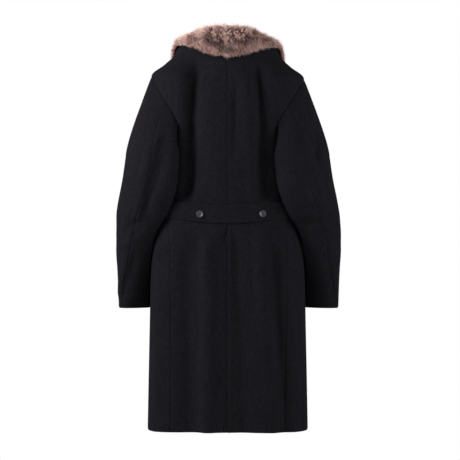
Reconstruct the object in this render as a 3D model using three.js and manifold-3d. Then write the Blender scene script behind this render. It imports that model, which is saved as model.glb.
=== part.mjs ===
// Long double-breasted military coat in black melton, with a fur collar and a buttoned half belt.
//
// It is hollow and filled out as if worn: the neck, front neck, hem and cuffs are open. Every piece that
// a tailor would cut and sew on is its own wall of cloth: two backs, two fronts, two lapels, a top sleeve
// and an under sleeve on each arm, an under collar, a fur collar, a half belt and two pocket flaps. The
// buttons are separate as well.
//
// Millimetres. +Z is up, the fronts face -Y, and +X is the wearer's left. The origin is in the middle of
// the neck opening, level with where the wearer's shoulders carry the coat.
import * as THREE from "three";
import { mergeVertices } from "three/addons/utils/BufferGeometryUtils.js";
import Module from "manifold-3d";

const wasm = await Module();
wasm.setup();

// ---------------------------------------------------------------- driving dimensions
const CLOTH = 3; // melton with its interlining
const BELT_CLOTH = 5; // the half belt is two layers
const FLAP_CLOTH = 4;
const UNDER_COLLAR_CLOTH = 2.5;
const SEAM_GAP = 0.3; // between pieces that are sewn edge to edge
const LAYER_GAP = 0.5; // between a piece and the panel that it lies on
const BUTTON_GAP = 0.4;
const SLEEVE_CLEARANCE = 9; // from the body cloth's inside to the inside of a sleeve beside it
const BELT_CLEARANCE = 14; // the same where a sleeve rides over the half belt
const FOREARM_SHIFT = { left: -3, right: 2 }; // outwards
const RIGHT_HEAD = 0.86; // the right sleeve's head is a little flatter
const FRONT_GAP = 1; // between the two fronts

const TIP_LEVEL = 140; // shoulder tip, measured down the back from the neck seam
const PIT_LEVEL = 312; // bottom of the armhole
const HEM_LEVEL = 1110;
const PIT_ANGLE = 84; // degrees round the body, where the side seam meets the armhole
const RIGHT_SHOULDER_DROP = 7;

const VENT_LEVEL = 541; // the centre-back vent opens just below the half belt
const VENT_HEAD = 8; // the underlap reaches its whole width in this length
const VENT_GAP = 1.2;
const VENT_UNDERLAP = 38;

const BREAK_LEVEL = 385; // where the lapels begin to turn
const OVERLAP = 85; // each front passes the centre by this much
const NECK_ROLL_X = 64; // where the roll line meets the neck seam

const BELT_LEVEL = 511; // of the half belt's middle, at the centre back
const BELT_HEIGHT = 53;
const BELT_END_HEIGHT = 47;
const BELT_END_RISE = 16; // the half belt hangs lower in the middle
const BELT_HALF_LENGTH = 164; // measured straight across, to the side seams
const BELT_BUTTONS = [
  { name: "left", x: 74, drop: 3 },
  { name: "right", x: -93, drop: 4 }, // both sit a little under the middle of the belt
];

const FRONT_BUTTON = { diameter: 28, height: 5 };
const BELT_BUTTON = { diameter: 20, height: 4 };
const FRONT_BUTTON_LEVELS = [408, 512, 616, 720];
const FRONT_BUTTON_X = 70;

const FLAP_REACH = 92; // straight across; round the body the flap is about 140 long
const FLAP_HEIGHT = 62;
const FLAP_Z = -586; // upper edge at its front end
const FLAP_INNER_X = 100;
const FLAP_DROP = 12; // the outer end is lower

const COLLAR_END_ANGLE = 137; // round the neck from the centre back to the collar's front end

const ARM_STEP = 20; // degrees between the points that the armhole and the sleeve share
const BACK = 1;
const FRONT = -1;
const LEFT = 1;
const RIGHT = -1;

const BLACK = 0x16151b;
const FUR = 0xa98779;
const HORN = 0x1d1c20;

// ---------------------------------------------------------------- sections and folds
// Body sections, from the neck seam down. Each ring is a superellipse of the given power, with its
// half width and its depths behind and in front of the shoulder seam, and the heights of its side,
// its centre back and its centre front.
const BODY_SECTIONS = [
  { level: 0, half: 92, back: 74, front: 82, power: 2.0, sideZ: 12, backZ: 8, frontZ: -62 },
  { level: 22, half: 118, back: 86, front: 93, power: 2.0, sideZ: 10, backZ: -8, frontZ: -76 },
  { level: 40, half: 136, back: 94, front: 100, power: 2.0, sideZ: 3, backZ: -23, frontZ: -88 },
  { level: 60, half: 149, back: 102, front: 108, power: 2.05, sideZ: -20, backZ: -42, frontZ: -98 },
  { level: 95, half: 176, back: 114, front: 121, power: 2.1, sideZ: -45, backZ: -72, frontZ: -112 },
  { level: TIP_LEVEL, half: 211, back: 125, front: 131, power: 2.2, sideZ: -77, backZ: -106, frontZ: -132 },
  { level: 200, half: 211, back: 133, front: 138, power: 2.3, sideZ: -150, backZ: -152, frontZ: -156 },
  { level: 255, half: 194, back: 136, front: 141, power: 2.3, sideZ: -205, backZ: -205, frontZ: -205 },
  { level: PIT_LEVEL, half: 174, back: 136, front: 142, power: 2.4, sideZ: -262, backZ: -262, frontZ: -262 },
  { level: 380, half: 168, back: 131, front: 139, power: 2.4, sideZ: -330, backZ: -330, frontZ: -330 },
  { level: 450, half: 173, back: 122, front: 135, power: 2.4, sideZ: -400, backZ: -400, frontZ: -400 },
  { level: 510, half: 184, back: 116, front: 134, power: 2.4, sideZ: -460, backZ: -460, frontZ: -460 },
  { level: 590, half: 204, back: 122, front: 138, power: 2.45, sideZ: -540, backZ: -540, frontZ: -540 },
  { level: 680, half: 212, back: 129, front: 144, power: 2.5, sideZ: -630, backZ: -630, frontZ: -630 },
  { level: 850, half: 216, back: 135, front: 151, power: 2.5, sideZ: -800, backZ: -800, frontZ: -800 },
  { level: 1110, half: 221, back: 141, front: 158, power: 2.5, sideZ: -1060, backZ: -1056, frontZ: -1060 },
];

// The side seam below the armhole, as degrees round the body.
const SIDE_SEAM = [
  { level: PIT_LEVEL, angle: PIT_ANGLE },
  { level: 380, angle: 77 },
  { level: 450, angle: 72 },
  { level: BELT_LEVEL, angle: 69 },
  { level: 560, angle: 63.5 },
  { level: 620, angle: 60 },
  { level: 850, angle: 56.5 },
  { level: HEM_LEVEL, angle: 55 },
];

// The armhole, as degrees round the body at each turn of the sleeve: 0 is the shoulder tip, 180 the pit.
const ARMHOLE = [
  { turn: 0, backAngle: 90, frontAngle: 90 },
  { turn: 30, backAngle: 80, frontAngle: 101 },
  { turn: 60, backAngle: 67, frontAngle: 114 },
  { turn: 90, backAngle: 57, frontAngle: 122 },
  { turn: 120, backAngle: 53, frontAngle: 124 },
  { turn: 145, backAngle: 56, frontAngle: 119 },
  { turn: 165, backAngle: 66, frontAngle: 106 },
  { turn: 180, backAngle: PIT_ANGLE, frontAngle: PIT_ANGLE },
];

// Level sections of the left sleeve below the armhole. The long axis is turned from +X towards the back.
// The last two columns are where the hind-arm and fore-arm seams lie.
const SLEEVE_SECTIONS = [
  { drop: 300, centreX: 204, centreY: 54, long: 98, short: 62, turn: -52, hind: 88, fore: 240 },
  { drop: 380, centreX: 215, centreY: 50, long: 98, short: 62, turn: -50, hind: 84, fore: 238 },
  { drop: 455, centreX: 234, centreY: 34, long: 84, short: 60, turn: -42, hind: 78, fore: 236 },
  { drop: 492, centreX: 243, centreY: 20, long: 71, short: 57, turn: -30, hind: 74, fore: 236 },
  { drop: 545, centreX: 250, centreY: 2, long: 62, short: 54, turn: 8, hind: 68, fore: 236 },
  { drop: 605, centreX: 252, centreY: -16, long: 64, short: 46, turn: 40, hind: 60, fore: 236 },
  { drop: 660, centreX: 254, centreY: -32, long: 67, short: 40, turn: 50, hind: 54, fore: 236 },
  { drop: 722, centreX: 255, centreY: -45, long: 68, short: 36, turn: 52, hind: 52, fore: 236 },
];

// How a sleeve leaves the armhole: its lift off the body, the reach of the curve at each end, and how
// far the curve swings in over the back.
const SLEEVE_HEAD = [
  { turn: 0, lift: 0.4, start: 135, end: 120, swing: 0 },
  { turn: 60, lift: 0.5, start: 105, end: 100, swing: 0 },
  { turn: 90, lift: 0.9, start: 85, end: 85, swing: 0 },
  { turn: 120, lift: 2.4, start: 95, end: 50, swing: 45 },
  { turn: 150, lift: 2.4, start: 95, end: 40, swing: 70 },
  { turn: 180, lift: 1.2, start: 85, end: 30, swing: 0 },
  { turn: 210, lift: 1, start: 80, end: 40, swing: 0 },
  { turn: 240, lift: 0.8, start: 75, end: 60, swing: 0 },
  { turn: 270, lift: 0.55, start: 80, end: 85, swing: 0 },
  { turn: 300, lift: 0.5, start: 105, end: 100, swing: 0 },
  { turn: 360, lift: 0.4, start: 135, end: 120, swing: 0 },
];

// Folds of the body, each a soft trough or ridge along a line from one place to another. x is across,
// level is down, half is the fold's half width, rise is outwards, and the ends fade over the lengths given.
const BACK_FOLDS = [
  { x: 97, level: 38, toX: 113, toLevel: 486, half: 19, rise: -19, fadeIn: 90, fadeOut: 40 },
  { x: -80, level: 38, toX: -107, toLevel: 486, half: 20, rise: -20, fadeIn: 90, fadeOut: 40 },
  { x: -52, level: 90, toX: -68, toLevel: 470, half: 17, rise: 5, fadeIn: 90, fadeOut: 70 },
  { x: 52, level: 90, toX: 72, toLevel: 470, half: 22, rise: 3, fadeIn: 90, fadeOut: 70 },
  { x: -16, level: 130, toX: -20, toLevel: 400, half: 11, rise: -4, fadeIn: 70, fadeOut: 90 },
  { x: 112, level: 528, toX: 108, toLevel: 1110, half: 26, rise: -9, fadeIn: 120, fadeOut: 0 },
  { x: 47, level: 528, toX: 40, toLevel: 1110, half: 23, rise: 6, fadeIn: 120, fadeOut: 0 },
  { x: -20, level: 528, toX: -48, toLevel: 1110, half: 19, rise: -6, fadeIn: 120, fadeOut: 0 },
  { x: -84, level: 528, toX: -128, toLevel: 1110, half: 21, rise: 6, fadeIn: 120, fadeOut: 0 },
  { x: -112, level: 528, toX: -164, toLevel: 1110, half: 15, rise: -7, fadeIn: 120, fadeOut: 0 },
];
const FRONT_FOLDS = [
  { x: 128, level: 560, toX: 146, toLevel: 1110, half: 24, rise: -8, fadeIn: 160, fadeOut: 0 },
  { x: -136, level: 560, toX: -148, toLevel: 1110, half: 22, rise: -8, fadeIn: 160, fadeOut: 0 },
  { x: 112, level: 190, toX: 104, toLevel: 480, half: 20, rise: -6, fadeIn: 80, fadeOut: 80 },
  { x: -112, level: 190, toX: -108, toLevel: 480, half: 20, rise: -6, fadeIn: 80, fadeOut: 80 },
];

// Folds of the sleeves, along lines from one turn and drop to another.
const SLEEVE_FOLDS = {
  left: [
    { turn: 40, drop: 500, toTurn: 128, toDrop: 470, half: 13, rise: -5, fadeIn: 20, fadeOut: 30 },
    { turn: 112, drop: 250, toTurn: 92, toDrop: 470, half: 13, rise: -6, fadeIn: 60, fadeOut: 40 },
    { turn: 200, drop: 478, toTurn: 300, toDrop: 470, half: 12, rise: -7, fadeIn: 20, fadeOut: 20 },
  ],
  right: [
    { turn: 30, drop: 462, toTurn: 135, toDrop: 496, half: 13, rise: -8, fadeIn: 20, fadeOut: 30 },
    { turn: 30, drop: 180, toTurn: 52, toDrop: 360, half: 12, rise: -5, fadeIn: 50, fadeOut: 60 },
    { turn: 200, drop: 478, toTurn: 300, toDrop: 470, half: 12, rise: -7, fadeIn: 20, fadeOut: 20 },
  ],
};

// The collar at stations round the neck: height of its fold above the neck seam, how far the fold leans
// out, the level at which its outer edge rests on the body, and the depth of the pile.
const COLLAR_SECTIONS = [
  { angle: 0, stand: 30, lean: 14, edgeLevel: 40, pile: 22 },
  { angle: 30, stand: 28, lean: 15, edgeLevel: 37, pile: 22 },
  { angle: 52, stand: 18, lean: 17, edgeLevel: 29, pile: 20 },
  { angle: 80, stand: 10, lean: 17, edgeLevel: 33, pile: 17 },
  { angle: 90, stand: 9, lean: 17, edgeLevel: 40, pile: 17 },
  { angle: 102, stand: 8, lean: 15, edgeLevel: 62, pile: 17 },
  { angle: 116, stand: 6, lean: 12, edgeLevel: 84, pile: 17 },
  { angle: COLLAR_END_ANGLE, stand: 3, lean: 7, edgeLevel: 97, pile: 15 },
];

// The lapel's gorge, peak and outer edge, seen from the front: across and up.
const LAPEL_EDGE = [
  [96, -70],
  [128, -94],
  [160, -84],
  [142, -132],
  [96, -200],
  [30, -282],
  [-52, -334],
];
const LAPEL_SET_IN = 1; // from the roll line
const LAPEL_CLEAR = 8; // from the left front's edge to the right lapel
const LAPEL_COVER_X = 240;

// ---------------------------------------------------------------- curves and tables
const radians = (degrees) => (degrees * Math.PI) / 180;
const mix = (a, b, share) => a + (b - a) * share;
const point = (x, y, z) => new THREE.Vector3(x, y, z);

function smooth(low, high, value) {
  const share = Math.min(1, Math.max(0, (value - low) / (high - low)));
  return share * share * (3 - 2 * share);
}

// A table of rows read as one smooth curve for each column, with no overshoot between the rows.
class Sections {
  constructor(key, rows) {
    this.at_ = rows.map((row) => row[key]);
    this.columns = Object.keys(rows[0]).filter((name) => name !== key);
    this.values = this.columns.map((name) => rows.map((row) => row[name]));
    this.slopes = this.values.map((values) => this.slopesOf(values));
  }

  slopesOf(values) {
    const secants = values.slice(1).map((v, i) => (v - values[i]) / (this.at_[i + 1] - this.at_[i]));
    return values.map((_, i) => {
      const before = secants[Math.max(0, i - 1)];
      const after = secants[Math.min(secants.length - 1, i)];
      return before * after <= 0 ? 0 : (2 * before * after) / (before + after);
    });
  }

  at(place) {
    const last = this.at_.length - 2;
    const found = this.at_.findIndex((value) => value > place);
    const i = found < 0 ? last : Math.max(0, found - 1);
    const span = this.at_[i + 1] - this.at_[i];
    const t = Math.min(1, Math.max(0, (place - this.at_[i]) / span));
    const row = {};
    this.columns.forEach((name, c) => {
      const [v, m] = [this.values[c], this.slopes[c]];
      row[name] =
        v[i] * (1 + 2 * t) * (1 - t) ** 2 +
        m[i] * span * t * (1 - t) ** 2 +
        v[i + 1] * t * t * (3 - 2 * t) +
        m[i + 1] * span * t * t * (t - 1);
    });
    return row;
  }
}

const bodySections = new Sections("level", BODY_SECTIONS);
const sideSeam = new Sections("level", SIDE_SEAM);
const armhole = new Sections("turn", ARMHOLE);
const sleeveSections = new Sections("drop", SLEEVE_SECTIONS);
const sleeveHead = new Sections("turn", SLEEVE_HEAD);
const collarSections = new Sections("angle", COLLAR_SECTIONS);

// The rise of one fold at a place, both given as distances across and down.
function foldRise(from, to, fold, across, down) {
  const run = [to[0] - from[0], to[1] - from[1]];
  const length = Math.hypot(...run);
  const [unitX, unitY] = [run[0] / length, run[1] / length];
  const along = (across - from[0]) * unitX + (down - from[1]) * unitY;
  const off = (across - from[0]) * unitY - (down - from[1]) * unitX;
  const startFade = fold.fadeIn ? smooth(0, fold.fadeIn, along) : 1;
  const endFade = fold.fadeOut ? smooth(0, fold.fadeOut, length - along) : 1;
  return fold.rise * startFade * endFade * Math.exp(-((off / fold.half) ** 2));
}

// ---------------------------------------------------------------- the body's form
// A point of the body without its folds. Angle 0 is the centre back and 90 degrees the wearer's left.
function bodyForm(angle, level) {
  const row = bodySections.at(level);
  const [sine, cosine] = [Math.sin(angle), Math.cos(angle)];
  const depth = cosine >= 0 ? row.back : row.front;
  const share = Math.abs(sine / row.half) ** row.power + Math.abs(cosine / depth) ** row.power;
  const reach = share ** (-1 / row.power);
  const endZ = cosine >= 0 ? row.backZ : row.frontZ;
  const drop = sine < 0 ? RIGHT_SHOULDER_DROP * (1 - smooth(TIP_LEVEL, PIT_LEVEL, level)) : 0;
  return point(reach * sine, reach * cosine, endZ + (row.sideZ - drop - endZ) * sine * sine);
}

// The outward normal of a surface made by surface(angle, level), from points a little to each side.
function normalOf(surface, angle, level) {
  const turn = 0.01;
  const step = 2;
  const round = surface(angle + turn, level).sub(surface(angle - turn, level));
  const top = Math.max(0, level - step);
  const down = surface(angle, Math.min(HEM_LEVEL, level + step)).sub(surface(angle, top));
  return round.cross(down).normalize();
}

function bodySkin(angle, level) {
  const base = bodyForm(angle, level);
  const folds = Math.cos(angle) >= 0 ? BACK_FOLDS : FRONT_FOLDS;
  const rise = folds.reduce(
    (sum, f) => sum + foldRise([f.x, f.level], [f.toX, f.toLevel], f, base.x, level),
    0,
  );
  return rise ? base.addScaledVector(normalOf(bodyForm, angle, level), rise) : base;
}

// A point of the body cloth, moved out from the cloth's inside by the given distance.
function onBody(angle, level, out) {
  return bodySkin(angle, level).addScaledVector(normalOf(bodySkin, angle, level), out);
}

// The same on the form without folds, for what spans them.
function onForm(angle, level, out) {
  return bodyForm(angle, level).addScaledVector(normalOf(bodyForm, angle, level), out);
}

// The angle at which a ring of the body is at x, on its back or its front.
function angleAt(x, level, face) {
  const row = bodySections.at(level);
  const depth = face === BACK ? row.back : row.front;
  const across = Math.min(0.999, Math.abs(x) / row.half);
  const y = face * depth * (1 - across ** row.power) ** (1 / row.power);
  const angle = Math.atan2(x, y);
  return face === FRONT && angle < 0 ? angle + 2 * Math.PI : angle;
}

// ---------------------------------------------------------------- seams
function levelOfTurn(turn) {
  return mix(TIP_LEVEL, PIT_LEVEL, (1 - Math.cos(radians(turn))) / 2);
}

function turnOfLevel(level) {
  const share = (level - TIP_LEVEL) / (PIT_LEVEL - TIP_LEVEL);
  return (Math.acos(1 - 2 * Math.min(1, Math.max(0, share))) * 180) / Math.PI;
}

// Where the backs end: at the shoulder seam, the back of the armhole, or the side seam.
function backEdge(level) {
  if (level <= TIP_LEVEL) return radians(90);
  if (level < PIT_LEVEL) return radians(armhole.at(turnOfLevel(level)).backAngle);
  return radians(sideSeam.at(level).angle);
}

// Where the fronts begin, on the same line.
function frontEdge(level) {
  if (level <= TIP_LEVEL || level >= PIT_LEVEL) return backEdge(level);
  return radians(armhole.at(turnOfLevel(level)).frontAngle);
}

// The front edge of a front: the roll line down to the break, then the straight overlap.
function rollX(level) {
  return mix(NECK_ROLL_X, -OVERLAP, Math.min(1, level / BREAK_LEVEL));
}

// The left front lies on the right one, a cloth's thickness out.
function frontLift(side, angle, level) {
  if (side === RIGHT) return 0;
  const { x } = bodyForm(angle, level);
  const onFront = Math.cos(angle) < 0 ? 1 : 0;
  return onFront * (CLOTH + FRONT_GAP) * smooth(138, 106, x) * smooth(60, 130, level);
}

// ---------------------------------------------------------------- walls
// A closed wall between two grids of points, as a geometry that faces out.
function wall(outer, inner) {
  const [rows, columns] = [outer.length, outer[0].length];
  const points = [...outer.flat(), ...inner.flat()];
  const out = (i, j) => i * columns + j;
  const back = (i, j) => rows * columns + i * columns + j;
  const faces = [];
  const quad = (a, b, c, d) => {
    const acrossFirst = points[a].distanceTo(points[c]) <= points[b].distanceTo(points[d]);
    faces.push(...(acrossFirst ? [a, b, c, a, c, d] : [a, b, d, b, c, d]));
  };
  for (let i = 0; i < rows - 1; i++) {
    for (let j = 0; j < columns - 1; j++) {
      quad(out(i, j), out(i + 1, j), out(i + 1, j + 1), out(i, j + 1));
      quad(back(i, j), back(i, j + 1), back(i + 1, j + 1), back(i + 1, j));
    }
    quad(out(i, 0), back(i, 0), back(i + 1, 0), out(i + 1, 0));
    quad(out(i + 1, columns - 1), back(i + 1, columns - 1), back(i, columns - 1), out(i, columns - 1));
  }
  for (let j = 0; j < columns - 1; j++) {
    quad(out(0, j), out(0, j + 1), back(0, j + 1), back(0, j));
    quad(out(rows - 1, j + 1), out(rows - 1, j), back(rows - 1, j), back(rows - 1, j + 1));
  }
  return facingOut(points, faces);
}

function facingOut(points, faces) {
  let volume = 0;
  for (let i = 0; i < faces.length; i += 3) {
    const [a, b, c] = [points[faces[i]], points[faces[i + 1]], points[faces[i + 2]]];
    volume += a.dot(b.clone().cross(c));
  }
  const ordered = volume < 0 ? faces.toReversed() : faces;
  return new THREE.BufferGeometry().setFromPoints(points).setIndex(ordered);
}

// A wall whose two sides are read from place(row share, column share, out).
function wallFrom(rowShares, columnShares, place, thickness) {
  const grid = (out) => rowShares.map((r) => columnShares.map((c) => place(r, c, out)));
  return wall(grid(thickness), grid(0));
}

// Solids for joining and cutting.
const asManifold = (geometry) => {
  const bare = geometry.clone();
  bare.deleteAttribute("normal");
  bare.deleteAttribute("uv");
  const merged = mergeVertices(bare, 1e-4);
  return new wasm.Manifold(
    new wasm.Mesh({
      numProp: 3,
      vertProperties: merged.attributes.position.array,
      triVerts: new Uint32Array(merged.index.array),
    }),
  );
};

const asGeometry = (solid) => {
  const mesh = solid.getMesh();
  return new THREE.BufferGeometry()
    .setAttribute("position", new THREE.BufferAttribute(new Float32Array(mesh.vertProperties), 3))
    .setIndex(new THREE.BufferAttribute(new Uint32Array(mesh.triVerts), 1));
};

const shares = (count) => Array.from({ length: count + 1 }, (_, i) => i / count);

const cloth = new THREE.MeshStandardMaterial({ color: BLACK, roughness: 0.95, metalness: 0 });
const furPile = new THREE.MeshStandardMaterial({ color: FUR, roughness: 1, metalness: 0 });
const horn = new THREE.MeshStandardMaterial({ color: HORN, roughness: 0.35, metalness: 0 });

const coat = new THREE.Group();

function add(name, geometry, material = cloth) {
  const mesh = new THREE.Mesh(geometry, material);
  mesh.name = name;
  coat.add(mesh);
  return mesh;
}

const sideName = (side) => (side === LEFT ? "left" : "right");

// ---------------------------------------------------------------- backs and fronts
const shoulderLevels = [0, 22, 40, 58, 80, 108];
const armholeLevels = shares(180 / ARM_STEP).map((share) => levelOfTurn(share * 180));
const vented = VENT_LEVEL + VENT_HEAD;
const skirtLevels = [350, 400, 445, 482, 512, VENT_LEVEL, vented, 600, 680, 790, 900, 1005, HEM_LEVEL];
const bodyLevels = [...shoulderLevels, ...armholeLevels, ...skirtLevels];
const BACK_COLUMNS = { inner: 10, outer: 4, splitX: 120 };
const FRONT_COLUMNS = { inner: 12, outer: 8, splitX: 132 };

// Angles from one to another at a level, evenly spaced along the cloth.
function evenAngles(from, to, level, count) {
  const fine = shares(60).map((share) => mix(from, to, share));
  const points = fine.map((angle) => bodyForm(angle, level));
  const lengths = points.map((p, i) => (i ? p.distanceTo(points[i - 1]) : 0));
  const run = lengths.reduce((sums, length, i) => [...sums, (sums[i - 1] ?? 0) + length], []);
  return shares(count).map((share) => {
    const target = share * run.at(-1);
    const i = Math.max(1, run.findIndex((sum) => sum >= target - 1e-9));
    return mix(fine[i - 1], fine[i], (target - run[i - 1]) / lengths[i]);
  });
}

// A panel's columns keep their places down its whole length near the centre. Those beyond splitX take
// up the armhole and the side seam.
function panelAngles(centre, edge, level, face, columns) {
  const splitX = Math.min(columns.splitX, 0.72 * bodySections.at(level).half);
  const split = angleAt(splitX, level, face);
  const inner = evenAngles(centre, split, level, columns.inner);
  return [...inner, ...evenAngles(split, edge, level, columns.outer).slice(1)];
}

// The centre-back edge. Below the belt the left back runs on under the right one as the vent's underlap.
function centreBack(side, level) {
  const seam = angleAt(SEAM_GAP / 2, level, BACK);
  if (side === RIGHT || level < VENT_LEVEL) return seam;
  return angleAt(-VENT_UNDERLAP * smooth(VENT_LEVEL, VENT_LEVEL + VENT_HEAD, level), level, BACK);
}

function ventDrop(side, angle, level) {
  if (side === RIGHT || level < VENT_LEVEL) return 0;
  return (CLOTH + VENT_GAP) * smooth(48, 20, bodyForm(angle, level).x);
}

const seamTrim = (level) => SEAM_GAP / 2 / bodySections.at(level).half;

// A panel is a grid of angles at each level. Its points can be asked for at any distance out.
function backPanel(side) {
  const rows = bodyLevels.map((level) => {
    const edge = backEdge(level) - seamTrim(level);
    return { level, angles: panelAngles(centreBack(side, level), edge, level, BACK, BACK_COLUMNS) };
  });
  return (out) =>
    rows.map(({ level, angles }) =>
      angles.map((angle) => onBody(side * angle, level, out - ventDrop(side, angle, level))),
    );
}

function frontPanel(side) {
  const rows = bodyLevels.map((level) => {
    const end = angleAt(rollX(level), level, FRONT);
    const edge = frontEdge(level) + seamTrim(level);
    return { level, angles: panelAngles(end, edge, level, FRONT, FRONT_COLUMNS) };
  });
  return (out) =>
    rows.map(({ level, angles }) =>
      angles.map((angle) => onBody(side * angle, level, out + frontLift(side, angle, level))),
    );
}

const backs = { left: backPanel(LEFT), right: backPanel(RIGHT) };
const fronts = { left: frontPanel(LEFT), right: frontPanel(RIGHT) };
["left", "right"].forEach((side) => {
  add(`back_${side}`, wall(backs[side](CLOTH), backs[side](0)));
  add(`front_${side}`, wall(fronts[side](CLOTH), fronts[side](0)));
});

// ---------------------------------------------------------------- what lies on the panels
// A piece that lies on a panel: the panel's own points moved out, cut to an outline seen from the
// front or the back.
function layer(panel, outline, face, thickness, cutAway = []) {
  const low = CLOTH + LAYER_GAP;
  const sheet = asManifold(wall(panel(low + thickness), panel(low)));
  const cut = cutAway.reduce((solid, part) => solid.subtract(part), sheet.intersect(prism(outline, face)));
  return asGeometry(cut.simplify(SIMPLIFY));
}

const PRISM_DEPTH = 400;
const SIMPLIFY = 0.05;

function prism(outline, face) {
  const shape = new THREE.Shape(outline.map(([x, z]) => new THREE.Vector2(x, z)));
  const solid = new THREE.ExtrudeGeometry(shape, { depth: PRISM_DEPTH, bevelEnabled: false });
  return asManifold(solid.rotateX(Math.PI / 2).translate(0, face === BACK ? PRISM_DEPTH : 0, 0));
}

const mirrored = (outline) => outline.map(([x, z]) => [-x, z]);

// The lapel's outline: up the roll line, along the gorge to the peak, and down the outer edge.
const rollPoint = (level) => {
  const { z } = bodyForm(angleAt(rollX(level), level, FRONT), level);
  return [rollX(level) + LAPEL_SET_IN, z];
};
const lapelOutline = [rollPoint(BREAK_LEVEL - 8), ...[300, 220, 140, 70, 20].map(rollPoint), ...LAPEL_EDGE];
const leftFrontCover = [
  ...[BREAK_LEVEL, 300, 220, 140, 70, 0].map(rollPoint).map(([x, z]) => [x - LAPEL_CLEAR, z]),
  [LAPEL_COVER_X, 0],
  [LAPEL_COVER_X, rollPoint(BREAK_LEVEL)[1] - BELT_HEIGHT],
  [-OVERLAP - LAPEL_SET_IN, rollPoint(BREAK_LEVEL)[1] - BELT_HEIGHT],
];

add("lapel_left", layer(fronts.left, lapelOutline, FRONT, CLOTH));
const underLeftFront = [prism(leftFrontCover, FRONT)];
add("lapel_right", layer(fronts.right, mirrored(lapelOutline), FRONT, CLOTH, underLeftFront));

// The half belt lies across both backs, from side seam to side seam.
function addBelt() {
  const both = (out) => {
    const left = backs.left(out);
    return backs.right(out).map((row, i) => [...row.toReversed(), ...left[i]]);
  };
  const across = shares(16).map((share) => mix(-BELT_HALF_LENGTH, BELT_HALF_LENGTH, share));
  const edge = (sign) => (x) => {
    const ends = (x / BELT_HALF_LENGTH) ** 2;
    return [x, beltZ(x) + (sign * mix(BELT_HEIGHT, BELT_END_HEIGHT, ends)) / 2];
  };
  const outline = [...across.map(edge(-1)), ...across.toReversed().map(edge(1))];
  add("half_belt", layer(both, outline, BACK, BELT_CLOTH));
}

function beltZ(x) {
  return 50 - BELT_LEVEL + BELT_END_RISE * (x / BELT_HALF_LENGTH) ** 2;
}
addBelt();

function addFlaps() {
  const outer = FLAP_INNER_X + FLAP_REACH;
  const outline = [
    [FLAP_INNER_X, FLAP_Z],
    [FLAP_INNER_X + 2, FLAP_Z - FLAP_HEIGHT],
    [outer, FLAP_Z - FLAP_HEIGHT - FLAP_DROP],
    [outer, FLAP_Z - FLAP_DROP],
  ];
  add("pocket_flap_left", layer(fronts.left, outline, FRONT, FLAP_CLOTH));
  add("pocket_flap_right", layer(fronts.right, mirrored(outline), FRONT, FLAP_CLOTH));
}
addFlaps();

// ---------------------------------------------------------------- sleeves
// The armhole's edge at a turn of the sleeve, moved into the hole by the seam gap.
function armholePlace(turn) {
  const folded = turn <= 180 ? turn : 360 - turn;
  const row = armhole.at(folded);
  return { angle: radians(turn <= 180 ? row.backAngle : row.frontAngle), level: levelOfTurn(folded) };
}

function armholeEdge(side, turn) {
  const near = armholePlace(turn);
  const edge = bodySkin(side * near.angle, near.level);
  const normal = normalOf(bodySkin, side * near.angle, near.level);
  const ahead = armholePlace((turn + 4) % 360);
  const behind = armholePlace((turn + 356) % 360);
  const along = bodySkin(side * ahead.angle, ahead.level).sub(bodySkin(side * behind.angle, behind.level));
  const into = along.cross(normal).normalize().multiplyScalar(side);
  return { edge: edge.addScaledVector(into, SEAM_GAP), normal, into };
}

// A point of a sleeve's level section, before it is moved clear of the body.
function sleeveRing(turn, drop) {
  const row = sleeveSections.at(drop);
  const [way, off] = [radians(turn), radians(turn - row.turn)];
  const reach = ((Math.cos(off) / row.long) ** 2 + (Math.sin(off) / row.short) ** 2) ** -0.5;
  return point(row.centreX + reach * Math.cos(way), row.centreY + reach * Math.sin(way), -drop);
}

// Moves a point outside the body's cloth by the given clearance.
function clearOfBody(at, clearance) {
  const level = 50 - at.z;
  const row = bodySections.at(Math.min(HEM_LEVEL, Math.max(200, level)));
  const depth = (at.y >= 0 ? row.back : row.front) + clearance;
  const across = (Math.abs(at.x) / (row.half + clearance)) ** row.power;
  const share = (across + (Math.abs(at.y) / depth) ** row.power) ** (1 / row.power);
  return share < 1 ? point(at.x / share, at.y / share, at.z) : at;
}

const CAP_DROP = SLEEVE_SECTIONS[0].drop;
const CUFF_DROP = SLEEVE_SECTIONS.at(-1).drop;

function clearanceAt(drop) {
  const overBelt = smooth(370, 405, drop) * smooth(560, 505, drop);
  return mix(SLEEVE_CLEARANCE, BELT_CLEARANCE, overBelt);
}

// The inside of the left or right sleeve. Down runs from 0 at the armhole to 1 at the first level
// section, and after that it is one more than the distance below that section.
function sleeveForm(side, turn, down) {
  if (down >= 1) {
    const drop = CAP_DROP + down - 1;
    const bare = sleeveRing(turn, drop);
    bare.x += FOREARM_SHIFT[sideName(side)] * smooth(430, 520, drop);
    const ring = clearOfBody(bare, clearanceAt(drop));
    return point(side * ring.x, ring.y, ring.z);
  }
  const { edge, normal, into } = armholeEdge(side, turn);
  const head = sleeveHead.at(turn);
  const fromTop = Math.min(turn, 360 - turn);
  const reach = head.start * (side === RIGHT ? mix(1, RIGHT_HEAD, smooth(90, 30, fromTop)) : 1);
  const leave = into.clone().addScaledVector(normal, head.lift).normalize().multiplyScalar(reach);
  leave.x -= side * head.swing;
  const below = clearOfBody(sleeveRing(turn, CAP_DROP), SLEEVE_CLEARANCE);
  const ring = point(side * below.x, below.y, below.z);
  const t = down;
  const at = edge
    .multiplyScalar((1 + 2 * t) * (1 - t) ** 2)
    .addScaledVector(leave, t * (1 - t) ** 2)
    .addScaledVector(ring, t * t * (3 - 2 * t))
    .add(point(0, 0, head.end * t * t * (1 - t)));
  if (at.z > -150) return at;
  const clearance = SLEEVE_CLEARANCE * smooth(0, 0.5, t);
  return t > 0 ? clearOfBody(at, clearance) : at;
}

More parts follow.
